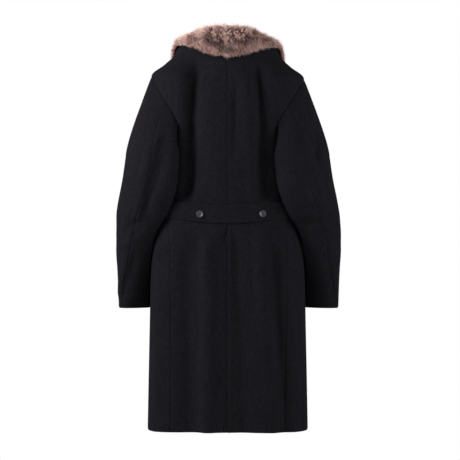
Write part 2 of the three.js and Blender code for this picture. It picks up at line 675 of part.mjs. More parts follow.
function sleeveNormal(side, surface, turn, down) {
  const round = surface(turn + 1, down).sub(surface(turn - 1, down));
  const cuff = CUFF_DROP - CAP_DROP + 1;
  const [above, below] = down < 1 ? [Math.max(0, down - 0.02), down + 0.02] : [down, down + 3];
  const along = surface(turn, Math.min(below, cuff)).sub(surface(turn, Math.min(above, cuff - 3)));
  return along.cross(round).normalize().multiplyScalar(side);
}

const TURN_WIDTH = 1.3; // millimetres round the sleeve for a degree of turn

function sleeveSkin(side, turn, down) {
  const base = sleeveForm(side, turn, down);
  const whole = ((turn % 360) + 360) % 360;
  const across = (degrees) => degrees * TURN_WIDTH;
  const rise = SLEEVE_FOLDS[sideName(side)].reduce((sum, f) => {
    const [from, to] = [[across(f.turn), f.drop], [across(f.toTurn), f.toDrop]];
    return sum + foldRise(from, to, f, across(whole), -base.z);
  }, 0);
  if (Math.abs(rise) < 0.01) return base;
  const plain = (t, d) => sleeveForm(side, (t + 360) % 360, d);
  return base.addScaledVector(sleeveNormal(side, plain, whole, down), rise);
}

function onSleeve(side, turn, down, out) {
  const whole = ((turn % 360) + 360) % 360;
  const skin = (t, d) => sleeveSkin(side, (t + 360) % 360, d);
  const normal = sleeveNormal(side, skin, whole, down);
  if (down < 0.3) {
    const atSeam = armholeEdge(side, whole).normal;
    normal.lerpVectors(atSeam, normal, smooth(0, 0.3, down)).normalize();
  }
  return skin(whole, down).addScaledVector(normal, out);
}

const headSteps = [0, 0.1, 0.22, 0.38, 0.56, 0.78];
const armSteps = [300, 345, 390, 430, 460, 482, 505, 545, 600, 660, CUFF_DROP];
const sleeveSteps = [...headSteps, ...armSteps.map((drop) => drop - CAP_DROP + 1)];

// Where a sleeve's two seams lie. At the armhole they are on the points that the body shares.
function seamTurns(down) {
  const drop = down < 1 ? CAP_DROP : CAP_DROP + down - 1;
  const row = sleeveSections.at(drop);
  const share = smooth(0, 1, down);
  return { hind: mix(4 * ARM_STEP, row.hind, share), fore: mix(12 * ARM_STEP, row.fore, share) };
}

function addSleeve(side) {
  const gap = SEAM_GAP / TURN_WIDTH / 2;
  const under = (down, share, out) => {
    const { hind, fore } = seamTurns(down);
    return onSleeve(side, mix(hind + gap, fore - gap, share), down, out);
  };
  const top = (down, share, out) => {
    const { hind, fore } = seamTurns(down);
    return onSleeve(side, mix(fore + gap, hind + 360 - gap, share), down, out);
  };
  add(`sleeve_under_${sideName(side)}`, wallFrom(sleeveSteps, shares(8), under, CLOTH));
  add(`sleeve_top_${sideName(side)}`, wallFrom(sleeveSteps, shares(10), top, CLOTH));
}
[LEFT, RIGHT].forEach(addSleeve);

// ---------------------------------------------------------------- collar
const COLLAR_STATIONS = 26;
const COLLAR_PROFILE = [0, 0.16, 0.3, 0.42, 0.52, 0.64, 0.82, 1];
const UNDER_COLLAR_END = 0.86; // of the last strip: the under collar stops short of the fur's edge
const COLLAR_FOLD_AT = 0.42;
const PELT_ABOVE = 0.4; // the pelt and the under collar lie this far to each side of the collar's skin
const UNDER_COLLAR_BELOW = 0.1;

// The collar's skin, on which the pile stands: up the stand from the neck seam, over the fold, and down
// the fall to its edge. Along is 0 at the neck seam and 1 at the edge.
function collarSkin(angle, along) {
  const row = collarSections.at((Math.abs(angle) * 180) / Math.PI);
  const seam = onForm(angle, 0, CLOTH + 1.2);
  const outward = point(Math.sin(angle), Math.cos(angle), 0);
  const up = point(0, 0, 1);
  const fold = seam.clone().addScaledVector(outward, row.lean).addScaledVector(up, row.stand);
  const overLapel = (CLOTH + LAYER_GAP) * smooth(78, 96, (Math.abs(angle) * 180) / Math.PI);
  const edge = onForm(angle, row.edgeLevel, CLOTH + LAYER_GAP + UNDER_COLLAR_CLOTH + 0.6 + overLapel);
  const stand = new THREE.QuadraticBezierCurve3(
    seam.clone().addScaledVector(outward, -UNDER_COLLAR_CLOTH),
    seam.clone().addScaledVector(outward, -3).addScaledVector(up, row.stand * 0.75),
    fold,
  );
  const fall = new THREE.QuadraticBezierCurve3(
    fold,
    fold.clone().addScaledVector(outward, fold.distanceTo(edge) * 0.5).addScaledVector(up, 3),
    edge,
  );
  return along < COLLAR_FOLD_AT
    ? stand.getPoint(along / COLLAR_FOLD_AT)
    : fall.getPoint((along - COLLAR_FOLD_AT) / (1 - COLLAR_FOLD_AT));
}

function onCollar(angle, along, out) {
  const turn = 0.01;
  const step = 0.02;
  const round = collarSkin(angle + turn, along).sub(collarSkin(angle - turn, along));
  const before = collarSkin(angle, Math.max(0, along - step));
  const over = collarSkin(angle, Math.min(1, along + step)).sub(before);
  return collarSkin(angle, along).addScaledVector(round.cross(over).normalize(), out);
}

function pileDepth(angle, along) {
  const row = collarSections.at((Math.abs(angle) * 180) / Math.PI);
  const thinInside = mix(0.35, 1, smooth(0.05, 0.45, along));
  const thinEdge = mix(1, 0.62, smooth(0.75, 1, along));
  return row.pile * thinInside * thinEdge;
}

function addCollar() {
  const reach = radians(COLLAR_END_ANGLE);
  const stations = shares(COLLAR_STATIONS).map((share) => mix(-reach, reach, share));
  const sheet = (depth) =>
    stations.map((angle) => COLLAR_PROFILE.map((along) => onCollar(angle, along, depth(angle, along))));
  const shorter = (rows) =>
    rows.map((row) => [...row.slice(0, -1), row.at(-2).clone().lerp(row.at(-1), UNDER_COLLAR_END)]);
  add("fur_collar", wall(sheet(pileDepth), sheet(() => PELT_ABOVE)), furPile);
  const face = sheet(() => -UNDER_COLLAR_BELOW);
  add("under_collar", wall(shorter(face), shorter(sheet(() => -UNDER_COLLAR_CLOTH))));
}
addCollar();

// ---------------------------------------------------------------- buttons
// A four-hole button with a rim and a dished face, standing on z = 0.
function buttonGeometry({ diameter, height }) {
  const r = diameter / 2;
  const profile = [
    [0, 0],
    [r * 0.82, 0],
    [r, height * 0.5],
    [r * 0.93, height],
    [r * 0.72, height * 0.94],
    [r * 0.62, height * 0.62],
    [0, height * 0.56],
  ].map(([x, y]) => new THREE.Vector2(x, y));
  const disc = new THREE.LatheGeometry(profile, 14).rotateX(Math.PI / 2);
  const holes = [45, 135, 225, 315].map((degrees) => {
    const hole = new THREE.CylinderGeometry(r * 0.1, r * 0.1, height * 3, 4).rotateX(Math.PI / 2);
    const [x, y] = [Math.cos(radians(degrees)), Math.sin(radians(degrees))];
    return hole.translate(x * r * 0.26, y * r * 0.26, 0);
  });
  return asGeometry(holes.reduce((solid, hole) => solid.subtract(asManifold(hole)), asManifold(disc)));
}

// Sews a button on a surface: as low as its rim allows, with its back just clear of the cloth.
function addButton(name, kind, surface, angle, level) {
  const normal = normalOf(surface, angle, level);
  const middle = surface(angle, level);
  const reach = kind.diameter / 2;
  const rim = [-1, 0, 1].flatMap((across) =>
    [-1, 0, 1].map((down) => surface(angle + (across * reach) / middle.length(), level + down * reach)),
  );
  const proud = Math.max(...rim.map((p) => p.sub(middle).dot(normal)));
  const button = add(name, buttonGeometry(kind), horn);
  button.position.copy(middle.addScaledVector(normal, proud + BUTTON_GAP));
  button.quaternion.setFromUnitVectors(point(0, 0, 1), normal);
}

function addBeltButtons() {
  const surface = (angle, level) => onBody(angle, level, CLOTH + LAYER_GAP + BELT_CLOTH);
  BELT_BUTTONS.forEach(({ name, x, drop }) => {
    const level = 50 - beltZ(x) + drop;
    addButton(`belt_button_${name}`, BELT_BUTTON, surface, angleAt(x, level, BACK), level);
  });
}

function addFrontButtons() {
  const surface = (angle, level) => onBody(angle, level, CLOTH + frontLift(LEFT, angle, level));
  FRONT_BUTTON_LEVELS.forEach((level, row) => {
    [LEFT, RIGHT].forEach((column) => {
      const angle = angleAt(column * FRONT_BUTTON_X, level, FRONT);
      addButton(`front_button_${sideName(column)}_${row + 1}`, FRONT_BUTTON, surface, angle, level);
    });
  });
}

addBeltButtons();
addFrontButtons();

export default coat;
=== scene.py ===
"""Looks of a long double-breasted military coat: black melton, a fur collar and horn-like buttons.

The coat is hollow and stands filled out as if worn. Each piece that a tailor would cut is a thin shell of
its own, on the form of the solid that it stands for, with the creases of heavy wool laid in one by one. The
fur is thousands of tapered hairs on a dense underfur. Lengths are millimetres here and become metres in the
meshes. +Z is up, the fronts face -Y and +X is the wearer's left.
"""

import logging
import math
from collections.abc import Callable, Sequence
from dataclasses import dataclass
from enum import Enum
from typing import ClassVar

import bmesh
import bpy
import numpy as np
from mathutils import Matrix, Vector
from mathutils.kdtree import KDTree


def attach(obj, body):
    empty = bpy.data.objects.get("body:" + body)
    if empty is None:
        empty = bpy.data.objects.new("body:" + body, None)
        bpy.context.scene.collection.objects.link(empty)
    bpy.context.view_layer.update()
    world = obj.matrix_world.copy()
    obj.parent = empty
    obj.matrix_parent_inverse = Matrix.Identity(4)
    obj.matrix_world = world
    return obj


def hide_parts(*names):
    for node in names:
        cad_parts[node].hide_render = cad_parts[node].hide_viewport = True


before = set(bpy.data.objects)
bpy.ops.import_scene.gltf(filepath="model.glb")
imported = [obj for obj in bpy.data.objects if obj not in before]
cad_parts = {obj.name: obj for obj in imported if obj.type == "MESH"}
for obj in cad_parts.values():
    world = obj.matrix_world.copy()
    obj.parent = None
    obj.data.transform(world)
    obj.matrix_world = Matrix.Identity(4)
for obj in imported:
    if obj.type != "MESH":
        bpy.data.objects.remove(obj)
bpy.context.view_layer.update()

log = logging.getLogger("coat")

MM = 0.001
CLOTH = 3.0  # melton with its interlining
BELT_CLOTH = 5.0
FLAP_CLOTH = 4.0
UNDER_COLLAR_CLOTH = 2.5
LAYER_GAP = 0.5
SLEEVE_CLEARANCE = 9.0
BELT_CLEARANCE = 14.0
OVER_BELT = (370.0, 405.0, 505.0, 560.0)  # drops between which a sleeve rides over the half belt
FOREARM_DROPS = (430.0, 520.0)
FOREARM_SHIFT = {1: -3.0, -1: 2.0}  # outwards, from the elbow down, by the side's sign
RIGHT_HEAD = 0.86  # the right sleeve's head leaves the shoulder in a tighter curve
HEAD_CLEAR_Z = -150.0  # below this the head is kept clear of the body
FRONT_GAP = 1.0

TIP_LEVEL = 140.0  # shoulder tip, measured down the back from the neck seam
PIT_LEVEL = 312.0
HEM_LEVEL = 1110.0
PIT_ANGLE = 84.0
RIGHT_SHOULDER_DROP = 7.0
VENT_LEVEL = 541.0
VENT_HEAD = 8.0
VENT_GAP = 1.2
VENT_UNDERLAP = 38.0
VENT_NEAR = 20.0  # the underlap lies in under the other back up to this far from the centre
VENT_FAR = 48.0  # and is back on the body's form here
VENT_STEP = 3.0  # levels that it takes to drop in at the slit
VENT_EASE = 90.0  # and how many more it takes away from it, where the cloth only eases in
BREAK_LEVEL = 385.0
OVERLAP = 85.0
LIFT_NEAR = 106.0  # the left front lies out over the right one up to here
LIFT_FAR = 138.0  # and is back on the body's form here
LIFT_TOP = 60.0  # levels between which it starts to lie out
LIFT_WHOLE = 130.0
NECK_ROLL_X = 64.0
BELT_LEVEL = 511.0
BELT_HEIGHT = 53.0
BELT_END_HEIGHT = 47.0
BELT_END_RISE = 16.0
BELT_HALF_LENGTH = 164.0
FLAP_REACH = 92.0
FLAP_HEIGHT = 62.0
FLAP_Z = -586.0
FLAP_INNER_X = 100.0
FLAP_DROP = 12.0
COLLAR_END_ANGLE = 137.0
COLLAR_FOLD_AT = 0.42
COLLAR_OFF_NECK = 1.2  # how far its skin stands off the cloth at the neck seam
COLLAR_OFF_BODY = 0.6  # and off what lies under it at its edge
ON_LAPEL = (78.0, 96.0)  # degrees round the neck between which it comes to lie on a lapel
UNDER_COLLAR_END = 0.975
UNDER_COLLAR_BELOW = 0.1  # the under collar lies this far in from the collar's skin
PELT_ABOVE = 0.4  # and the pelt this far out from it
ARM_STEP = 20.0
TURN_WIDTH = 1.3  # millimetres round a sleeve for a degree of turn
LEVEL_TO_Z = 50.0  # from the belt down, a place's height is this less its level

SEAM_DIP = 1.5  # how far a sewn or turned edge rolls in
SEAM_HALF = 2.6
INSIDE_DIP = 0.3  # the share of that roll that the inside of the cloth takes
EDGE_STEPS = (0.0, 0.7, 1.5, 2.5, 4.0, 6.5, 10.0)  # columns that round an edge off

Values = np.ndarray
Points = np.ndarray  # with x, y and z along its last axis
Object = bpy.types.Object
Material = bpy.types.Material
Surface = Callable[[Values, Values], Values]
Stops = tuple[tuple[float, str], ...]  # a colour ramp's places, each with its sRGB colour


class Side(Enum):
    """The wearer's left or right."""

    LEFT = 1
    RIGHT = -1

    @property
    def word(self) -> str:
        """The side's name in a piece's name."""
        return self.name.lower()


class Face(Enum):
    """The back or the front of the coat."""

    BACK = 1
    FRONT = -1


# ---- curves and tables
def smooth(low: float, high: float, value: Values) -> Values:
    """A soft step.

    Args:
        low: Where the step begins.
        high: Where it is whole.
        value: The places to read it at.

    Returns:
        Shares from 0 to 1.
    """
    share = np.clip((np.asarray(value, float) - low) / (high - low), 0, 1)
    return share * share * (3 - 2 * share)


def unit(vectors: Points) -> Points:
    """The vectors at length 1."""
    return vectors / np.maximum(np.linalg.norm(vectors, axis=-1, keepdims=True), 1e-12)


def stack(x: Values, y: Values, z: Values) -> Points:
    """Points from their coordinates, brought to one shape."""
    return np.stack(np.broadcast_arrays(x, y, z), axis=-1).astype(float)


class Sections:
    """A table of rows read as one smooth curve for each column, with no overshoot between the rows."""

    def __init__(self, rows: Sequence[tuple[float, ...]]) -> None:
        """Prepares the curves.

        Args:
            rows: Rows whose first number is the place that they stand at.
        """
        table = np.array(rows, float)
        self.places, self.values = table[:, 0], table[:, 1:]
        secants = np.diff(self.values, axis=0) / np.diff(self.places)[:, None]
        before, after = np.vstack([secants[:1], secants]), np.vstack([secants, secants[-1:]])
        total = np.where(before + after == 0, 1, before + after)
        self.slopes = np.where(before * after > 0, 2 * before * after / total, 0)

    def at(self, place: Values) -> list[Values]:
        """Reads every column at the given places.

        Args:
            place: Places along the table.

        Returns:
            One array for each column.
        """
        place = np.asarray(place, float)
        i = np.clip(np.searchsorted(self.places, place, side="right") - 1, 0, len(self.places) - 2)
        span = (self.places[i + 1] - self.places[i])[..., None]
        t = np.clip((place - self.places[i])[..., None] / span, 0, 1)
        read = (
            self.values[i] * (1 + 2 * t) * (1 - t) ** 2
            + self.slopes[i] * span * t * (1 - t) ** 2
            + self.values[i + 1] * t * t * (3 - 2 * t)
            + self.slopes[i + 1] * span * t * t * (t - 1)
        )
        return list(np.moveaxis(read, -1, 0))


# Level down from the neck seam: half width, depth behind, depth in front, power, and the heights of the
# side, the centre back and the centre front.
BODY_SECTIONS = Sections(
    [
        (0, 92, 74, 82, 2.0, 12, 8, -62),
        (22, 118, 86, 93, 2.0, 10, -8, -76),
        (40, 136, 94, 100, 2.0, 3, -23, -88),
        (60, 149, 102, 108, 2.05, -20, -42, -98),
        (95, 176, 114, 121, 2.1, -45, -72, -112),
        (TIP_LEVEL, 211, 125, 131, 2.2, -77, -106, -132),
        (200, 211, 133, 138, 2.3, -150, -152, -156),
        (255, 194, 136, 141, 2.3, -205, -205, -205),
        (PIT_LEVEL, 174, 136, 142, 2.4, -262, -262, -262),
        (380, 168, 131, 139, 2.4, -330, -330, -330),
        (450, 173, 122, 135, 2.4, -400, -400, -400),
        (510, 184, 116, 134, 2.4, -460, -460, -460),
        (590, 204, 122, 138, 2.45, -540, -540, -540),
        (680, 212, 129, 144, 2.5, -630, -630, -630),
        (850, 216, 135, 151, 2.5, -800, -800, -800),
        (HEM_LEVEL, 221, 141, 158, 2.5, -1060, -1056, -1060),
    ]
)
SIDE_SEAM = Sections(
    [
        (PIT_LEVEL, PIT_ANGLE),
        (380, 77),
        (450, 72),
        (BELT_LEVEL, 69),
        (560, 63.5),
        (620, 60),
        (850, 56.5),
        (HEM_LEVEL, 55),
    ]
)
# Turn round the armhole, from the shoulder tip to the pit: degrees round the body behind and in front.
ARMHOLE = Sections(
    [
        (0, 90, 90),
        (30, 80, 101),
        (60, 67, 114),
        (90, 57, 122),
        (120, 53, 124),
        (145, 56, 119),
        (165, 66, 106),
        (180, PIT_ANGLE, PIT_ANGLE),
    ]
)
# Drop: centre x, centre y, long and short half axes, turn of the long one, hind-arm and fore-arm seams.
SLEEVE_SECTIONS = Sections(
    [
        (300, 204, 54, 98, 62, -52, 88, 240),
        (380, 215, 50, 98, 62, -50, 84, 238),
        (455, 234, 34, 84, 60, -42, 78, 236),
        (492, 243, 20, 71, 57, -30, 74, 236),
        (545, 250, 2, 62, 54, 8, 68, 236),
        (605, 252, -16, 64, 46, 40, 60, 236),
        (660, 254, -32, 67, 40, 50, 54, 236),
        (722, 255, -45, 68, 36, 52, 52, 236),
    ]
)
# Turn round the armhole: lift off the body, reach of the curve at its start and end, swing over the back.
SLEEVE_HEAD = Sections(
    [
        (0, 0.4, 135, 120, 0),
        (60, 0.5, 105, 100, 0),
        (90, 0.9, 85, 85, 0),
        (120, 2.4, 95, 50, 45),
        (150, 2.4, 95, 40, 70),
        (180, 1.2, 85, 30, 0),
        (210, 1, 80, 40, 0),
        (240, 0.8, 75, 60, 0),
        (270, 0.55, 80, 85, 0),
        (300, 0.5, 105, 100, 0),
        (360, 0.4, 135, 120, 0),
    ]
)
# Degrees round the neck: height and lean of the fold, level where the edge rests, depth of the pile.
COLLAR_SECTIONS = Sections(
    [
        (0, 30, 14, 40, 22),
        (30, 28, 15, 37, 22),
        (52, 18, 17, 29, 20),
        (80, 10, 17, 33, 17),
        (90, 9, 17, 40, 17),
        (102, 8, 15, 62, 17),
        (116, 6, 12, 84, 17),
        (COLLAR_END_ANGLE, 3, 7, 97, 15),
    ]
)
CAP_DROP = 300.0
CUFF_DROP = 722.0


# ---- creases
@dataclass(frozen=True)
class Fold:
    """A soft trough or ridge of the cloth along a line, given across and down in millimetres."""

    start: tuple[float, float]
    end: tuple[float, float]
    half: float
    rise: float
    fades: tuple[float, float] = (40.0, 40.0)
    far_half: float | None = None

    def at(self, across: Values, down: Values) -> Values:
        """How far the fold moves the cloth out.

        Args:
            across: Places across.
            down: Places down.

        Returns:
            Millimetres outwards.
        """
        run = np.subtract(self.end, self.start)
        length = float(np.hypot(*run))
        way = run / length
        along = (across - self.start[0]) * way[0] + (down - self.start[1]) * way[1]
        off = (across - self.start[0]) * way[1] - (down - self.start[1]) * way[0]
        half = np.where(off > 0, self.far_half or self.half, self.half)
        ends = 1.0
        if self.fades[0]:
            ends = ends * smooth(0, self.fades[0], along)
        if self.fades[1]:
            ends = ends * smooth(0, self.fades[1], length - along)
        return self.rise * ends * np.exp(-((off / half) ** 2))


# The large folds that the solids have too.
BACK_FOLDS = (
    Fold((97, 38), (113, 486), 19, -19, (90, 40)),
    Fold((-80, 38), (-107, 486), 20, -20, (90, 40)),
    Fold((-52, 90), (-68, 470), 17, 5, (90, 70)),
    Fold((52, 90), (72, 470), 22, 3, (90, 70)),
    Fold((-16, 130), (-20, 400), 11, -4, (70, 90)),
    Fold((112, 528), (108, 1110), 26, -9, (120, 0)),
    Fold((47, 528), (40, 1110), 23, 6, (120, 0)),
    Fold((-20, 528), (-48, 1110), 19, -6, (120, 0)),
    Fold((-84, 528), (-128, 1110), 21, 6, (120, 0)),
    Fold((-112, 528), (-164, 1110), 15, -7, (120, 0)),
)
FRONT_FOLDS = (
    Fold((128, 560), (146, 1110), 24, -8, (160, 0)),
    Fold((-136, 560), (-148, 1110), 22, -8, (160, 0)),
    Fold((112, 190), (104, 480), 20, -6, (80, 80)),
    Fold((-112, 190), (-108, 480), 20, -6, (80, 80)),
)
SLEEVE_FOLDS = {
    Side.LEFT: (
        Fold((52, 500), (166.4, 470), 13, -5, (20, 30)),
        Fold((145.6, 250), (119.6, 470), 13, -6, (60, 40)),
        Fold((260, 478), (390, 470), 12, -7, (20, 20)),
    ),
    Side.RIGHT: (
        Fold((39, 462), (175.5, 496), 13, -8, (20, 30)),
        Fold((39, 180), (67.6, 360), 12, -5, (50, 60)),
        Fold((260, 478), (390, 470), 12, -7, (20, 20)),
    ),
}
# The finer creases of heavy wool, laid in one by one.
BACK_CREASES = (
    Fold((86, 36), (104, 262), 18, -9, (60, 60), 12),
    Fold((102, 215), (123, 478), 20, -9, (70, 50), 10),
    Fold((60, 46), (78, 470), 22, -11, (50, 60)),
    Fold((76, 46), (105, 478), 13, -8, (50, 50)),
    Fold((-84, 50), (-97, 300), 14, -3, (50, 90), 8),
    Fold((-92, 240), (-103, 474), 16, -4, (70, 50), 8),
    Fold((-72, 60), (-76, 130), 16, -3, (25, 40), 6),
    Fold((-28, 110), (-14, 330), 8, -3.2, (50, 70)),
    Fold((22, 100), (28, 170), 9, -1.6, (30, 30)),
    Fold((62, 130), (66, 420), 24, 2.6, (80, 90)),
    Fold((30, 330), (52, 478), 9, -1.6, (70, 20)),
    Fold((-38, 350), (-50, 480), 8, -1.4, (60, 20)),
    Fold((62, 424), (128, 452), 7, 1.6, (25, 25), 10),
    Fold((-60, 430), (-124, 458), 8, 1.5, (25, 25), 11),
    Fold((20, 455), (70, 470), 6, 1.1, (20, 20)),
    Fold((-12, 462), (-58, 468), 6, 1, (20, 20)),
    Fold((85, 552), (86, 1110), 16, -14, (60, 0), 66),
    Fold((146, 556), (148, 1110), 30, -5, (90, 0), 20),
    Fold((190, 560), (196, 1110), 12, 4, (60, 0)),
    Fold((60, 545), (56, 1110), 15, 6, (60, 0)),
    Fold((-84, 545), (-102, 1110), 18, 4.5, (60, 0), 24),
    Fold((-20, 545), (-34, 1110), 12, -3.5, (60, 0)),
    Fold((-134, 560), (-152, 1110), 14, -4, (60, 0)),
    Fold((-5, 548), (-6, 1110), 3.2, 1.5, (20, 0)),
    Fold((-13, 548), (-14, 1110), 3.6, -1.8, (20, 0)),
    Fold((14, 545), (18, 800), 9, -1.6, (40, 140)),
    Fold((-62, 541), (-74, 780), 9, -1.8, (30, 120)),
    Fold((-116, 545), (-140, 1110), 12, -3, (60, 0), 8),
    Fold((-92, 545), (-118, 1110), 12, 2, (60, 0)),
    Fold((2, 760), (6, 1110), 15, 1.6, (140, 0)),
    Fold((-170, 560), (-178, 1110), 16, 3, (80, 0)),
)
FRONT_CREASES = (
    Fold((60, 440), (132, 500), 10, -2, (30, 40)),
    Fold((-62, 452), (-136, 498), 10, -2, (30, 40)),
    Fold((88, 560), (96, 900), 13, -2.2, (60, 160)),
    Fold((-92, 600), (-100, 1110), 15, -2.6, (90, 0)),
    Fold((40, 740), (48, 1110), 18, 2.4, (140, 0)),
    Fold((-44, 780), (-40, 1110), 16, 2, (140, 0)),
    Fold((148, 300), (128, 440), 11, -2.6, (40, 50)),
    Fold((-146, 290), (-130, 450), 11, -2.6, (40, 50)),
    Fold((6, 800), (2, 1110), 14, -2, (140, 0)),
)
SLEEVE_CREASES = {
    Side.LEFT: (
        Fold((136, 210), (112, 410), 7, -12, (60, 50), 60),
        Fold((112, 370), (118, 486), 7, -9, (40, 30), 44),
        Fold((106, 230), (86, 420), 11, 4.4, (70, 50)),
        Fold((92, 446), (150, 452), 8, -2.4, (16, 24), 12),
        Fold((84, 520), (140, 498), 8, -3.2, (16, 24), 12),
        Fold((30, 560), (110, 528), 9, 2, (24, 30)),
        Fold((10, 140), (16, 300), 12, -1.8, (40, 80)),
        Fold((380, 140), (420, 320), 14, -2, (40, 80)),
        Fold((104, 556), (66, 700), 9, -5, (34, 24), 22),
        Fold((80, 560), (44, 700), 12, 2.6, (34, 24)),
        Fold((280, 430), (360, 444), 9, -2.6, (20, 24)),
        Fold((270, 508), (360, 500), 9, -2.4, (20, 24)),
        Fold((300, 560), (330, 700), 12, -1.8, (30, 30)),
    ),
    Side.RIGHT: (
        Fold((110, 190), (38, 348), 9, -7, (40, 30), 15),
        Fold((64, 150), (52, 320), 9, -3.6, (50, 60), 16),
        Fold((34, 300), (30, 450), 7, -4, (50, 50), 14),
        Fold((98, 330), (92, 470), 9, -3, (50, 30), 16),
        Fold((70, 430), (150, 452), 8, -2.4, (16, 24), 12),
        Fold((60, 500), (150, 528), 8, -3.4, (16, 24), 12),
        Fold((40, 540), (120, 560), 9, 2.2, (24, 30)),
        Fold((14, 150), (20, 320), 12, -2, (40, 80)),
        Fold((386, 140), (424, 330), 14, -2, (40, 80)),
        Fold((92, 560), (70, 700), 9, -4, (34, 24), 18),
        Fold((218, 500), (218, 580), 34, 6, (24, 24)),
        Fold((278, 436), (364, 440), 9, -2.4, (20, 24)),
        Fold((268, 512), (352, 506), 9, -2.6, (20, 24)),
        Fold((296, 566), (326, 700), 12, -1.8, (30, 30)),
    ),
}


def waviness(across: Values, down: Values, rise: float) -> Values:
    """The slow unevenness of steamed wool: a few crossed waves that never repeat within the coat.

    Args:
        across: Places across, in millimetres.
        down: Places down, in millimetres.
        rise: The largest rise.

    Returns:
        Millimetres outwards.
    """
    waves = (
        np.sin(across / 23.0 + 1.3 * np.sin(down / 61.0))
        + 0.8 * np.sin(down / 37.0 + 1.1 * np.sin(across / 29.0) + 2.0)
        + 0.6 * np.sin(across / 11.0 - down / 53.0 + 0.7)
    )
    return rise * waves / 2.4


# ---- the form of the body
class Body:
    """The form of the coat's body, read by the angle round it and the level down it."""

    @staticmethod
    def form(angle: Values, level: Values) -> Points:
        """The body without its folds. Angle 0 is the centre back, and a quarter turn the wearer's left.

        Args:
            angle: Angles round the body, in radians.
            level: Levels down the body.

        Returns:
            The points.
        """
        half, back, front, power, side_z, back_z, front_z = BODY_SECTIONS.at(level)
        sine, cosine = np.sin(angle), np.cos(angle)
        depth = np.where(cosine >= 0, back, front)
        share = np.abs(sine / half) ** power + np.abs(cosine / depth) ** power
        reach = share ** (-1 / power)
        end_z = np.where(cosine >= 0, back_z, front_z)
        drop = np.where(sine < 0, RIGHT_SHOULDER_DROP * (1 - smooth(TIP_LEVEL, PIT_LEVEL, level)), 0)
        return stack(reach * sine, reach * cosine, end_z + (side_z - drop - end_z) * sine * sine)

    @staticmethod
    def normal(surface: Surface, angle: Values, level: Values) -> Points:
        """The outward normal of a surface, from points a little to each side.

        Args:
            surface: Gives points by angle and level.
            angle: Angles round the body, in radians.
            level: Levels down the body.

        Returns:
            Unit vectors.
        """
        turn, step = 0.006, 1.5
        across = surface(angle + turn, level) - surface(angle - turn, level)
        down = surface(angle, np.minimum(HEM_LEVEL, level + step))
        down = down - surface(angle, np.maximum(0, level - step))
        return unit(np.cross(across, down))

    @classmethod
    def skin(cls, angle: Values, level: Values) -> Points:
        """The inside of the body's cloth, with its folds and creases.

        Args:
            angle: Angles round the body, in radians.
            level: Levels down the body.

        Returns:
            The points.
        """
        base = cls.form(angle, level)
        x, level = base[..., 0], np.broadcast_to(level, base.shape[:-1])
        behind = sum(f.at(x, level) for f in BACK_FOLDS + BACK_CREASES)
        ahead = sum(f.at(x, level) for f in FRONT_FOLDS + FRONT_CREASES)
        rise = np.where(np.cos(angle) >= 0, behind, ahead)
        calm = smooth(0, 60, level) * smooth(0.0, 0.25, np.abs(np.cos(angle)))
        rise = rise + waviness(x, level, 0.5) * calm
        return base + cls.normal(cls.form, angle, level) * rise[..., None]

    @classmethod
    def out(cls, angle: Values, level: Values, out: Values) -> Points:
        """Points of the body's cloth, moved out from its inside."""
        return cls.skin(angle, level) + cls.normal(cls.skin, angle, level) * np.asarray(out)[..., None]

    @classmethod
    def form_out(cls, angle: Values, level: Values, out: Values) -> Points:
        """The same on the form without folds."""
        return cls.form(angle, level) + cls.normal(cls.form, angle, level) * np.asarray(out)[..., None]

    @staticmethod
    def angle_at(x: Values, level: Values, face: Face) -> Values:
        """The angle at which a ring of the body is at x, on its back or its front.

        Args:
            x: Places across.
            level: Levels down the body.
            face: The back or the front.

        Returns:
            Angles in radians, past half a turn for the right of the front.
        """
        half, back, front, power, *_ = BODY_SECTIONS.at(level)
        depth = back if face is Face.BACK else front
        across = np.minimum(0.999, np.abs(x) / half)
        y = face.value * depth * (1 - across**power) ** (1 / power)
        angle = np.arctan2(x, y)
        return np.where((face is Face.FRONT) & (angle < 0), angle + 2 * math.pi, angle)

    @classmethod
    def place_at(cls, x: Values, z: Values, face: Face) -> tuple[Values, Values]:
        """The angle and level that show at x and z when the coat is seen from the back or the front.

        Args:
            x: Places across.
            z: Heights.
            face: The side that is seen.

        Returns:
            The angles and the levels.
        """
        level = LEVEL_TO_Z - z
        for _ in range(30):
            angle = cls.angle_at(x, level, face)
            level = np.clip(level + 0.7 * (cls.form(angle, level)[..., 2] - z), 1, HEM_LEVEL)
        return cls.angle_at(x, level, face), level


# ---- seams
def level_of_turn(turn: Values) -> Values:
    """The level of the armhole at a turn round it."""
    return TIP_LEVEL + (PIT_LEVEL - TIP_LEVEL) * (1 - np.cos(np.radians(turn))) / 2


def turn_of_level(level: Values) -> Values:
    """The turn round the armhole at a level."""
    share = np.clip((level - TIP_LEVEL) / (PIT_LEVEL - TIP_LEVEL), 0, 1)
    return np.degrees(np.arccos(1 - 2 * share))


def back_edge(level: Values) -> Values:
    """Where the backs end: the shoulder seam, the back of the armhole, or the side seam.

    Args:
        level: Levels down the body.

    Returns:
        Angles in radians.
    """
    armhole = ARMHOLE.at(turn_of_level(level))[0]
    side = SIDE_SEAM.at(level)[0]
    degrees = np.where(level <= TIP_LEVEL, 90.0, np.where(level < PIT_LEVEL, armhole, side))
    return np.radians(degrees)


def front_edge(level: Values) -> Values:
    """Where the fronts begin, on the same line.

    Args:
        level: Levels down the body.

    Returns:
        Angles in radians.
    """
    armhole = np.radians(ARMHOLE.at(turn_of_level(level))[1])
    inside = (level > TIP_LEVEL) & (level < PIT_LEVEL)
    return np.where(inside, armhole, back_edge(level))


def roll_x(level: Values) -> Values:
    """The front edge of a front: the roll line down to the break, then the straight overlap."""
    return NECK_ROLL_X + (-OVERLAP - NECK_ROLL_X) * np.minimum(1, level / BREAK_LEVEL)


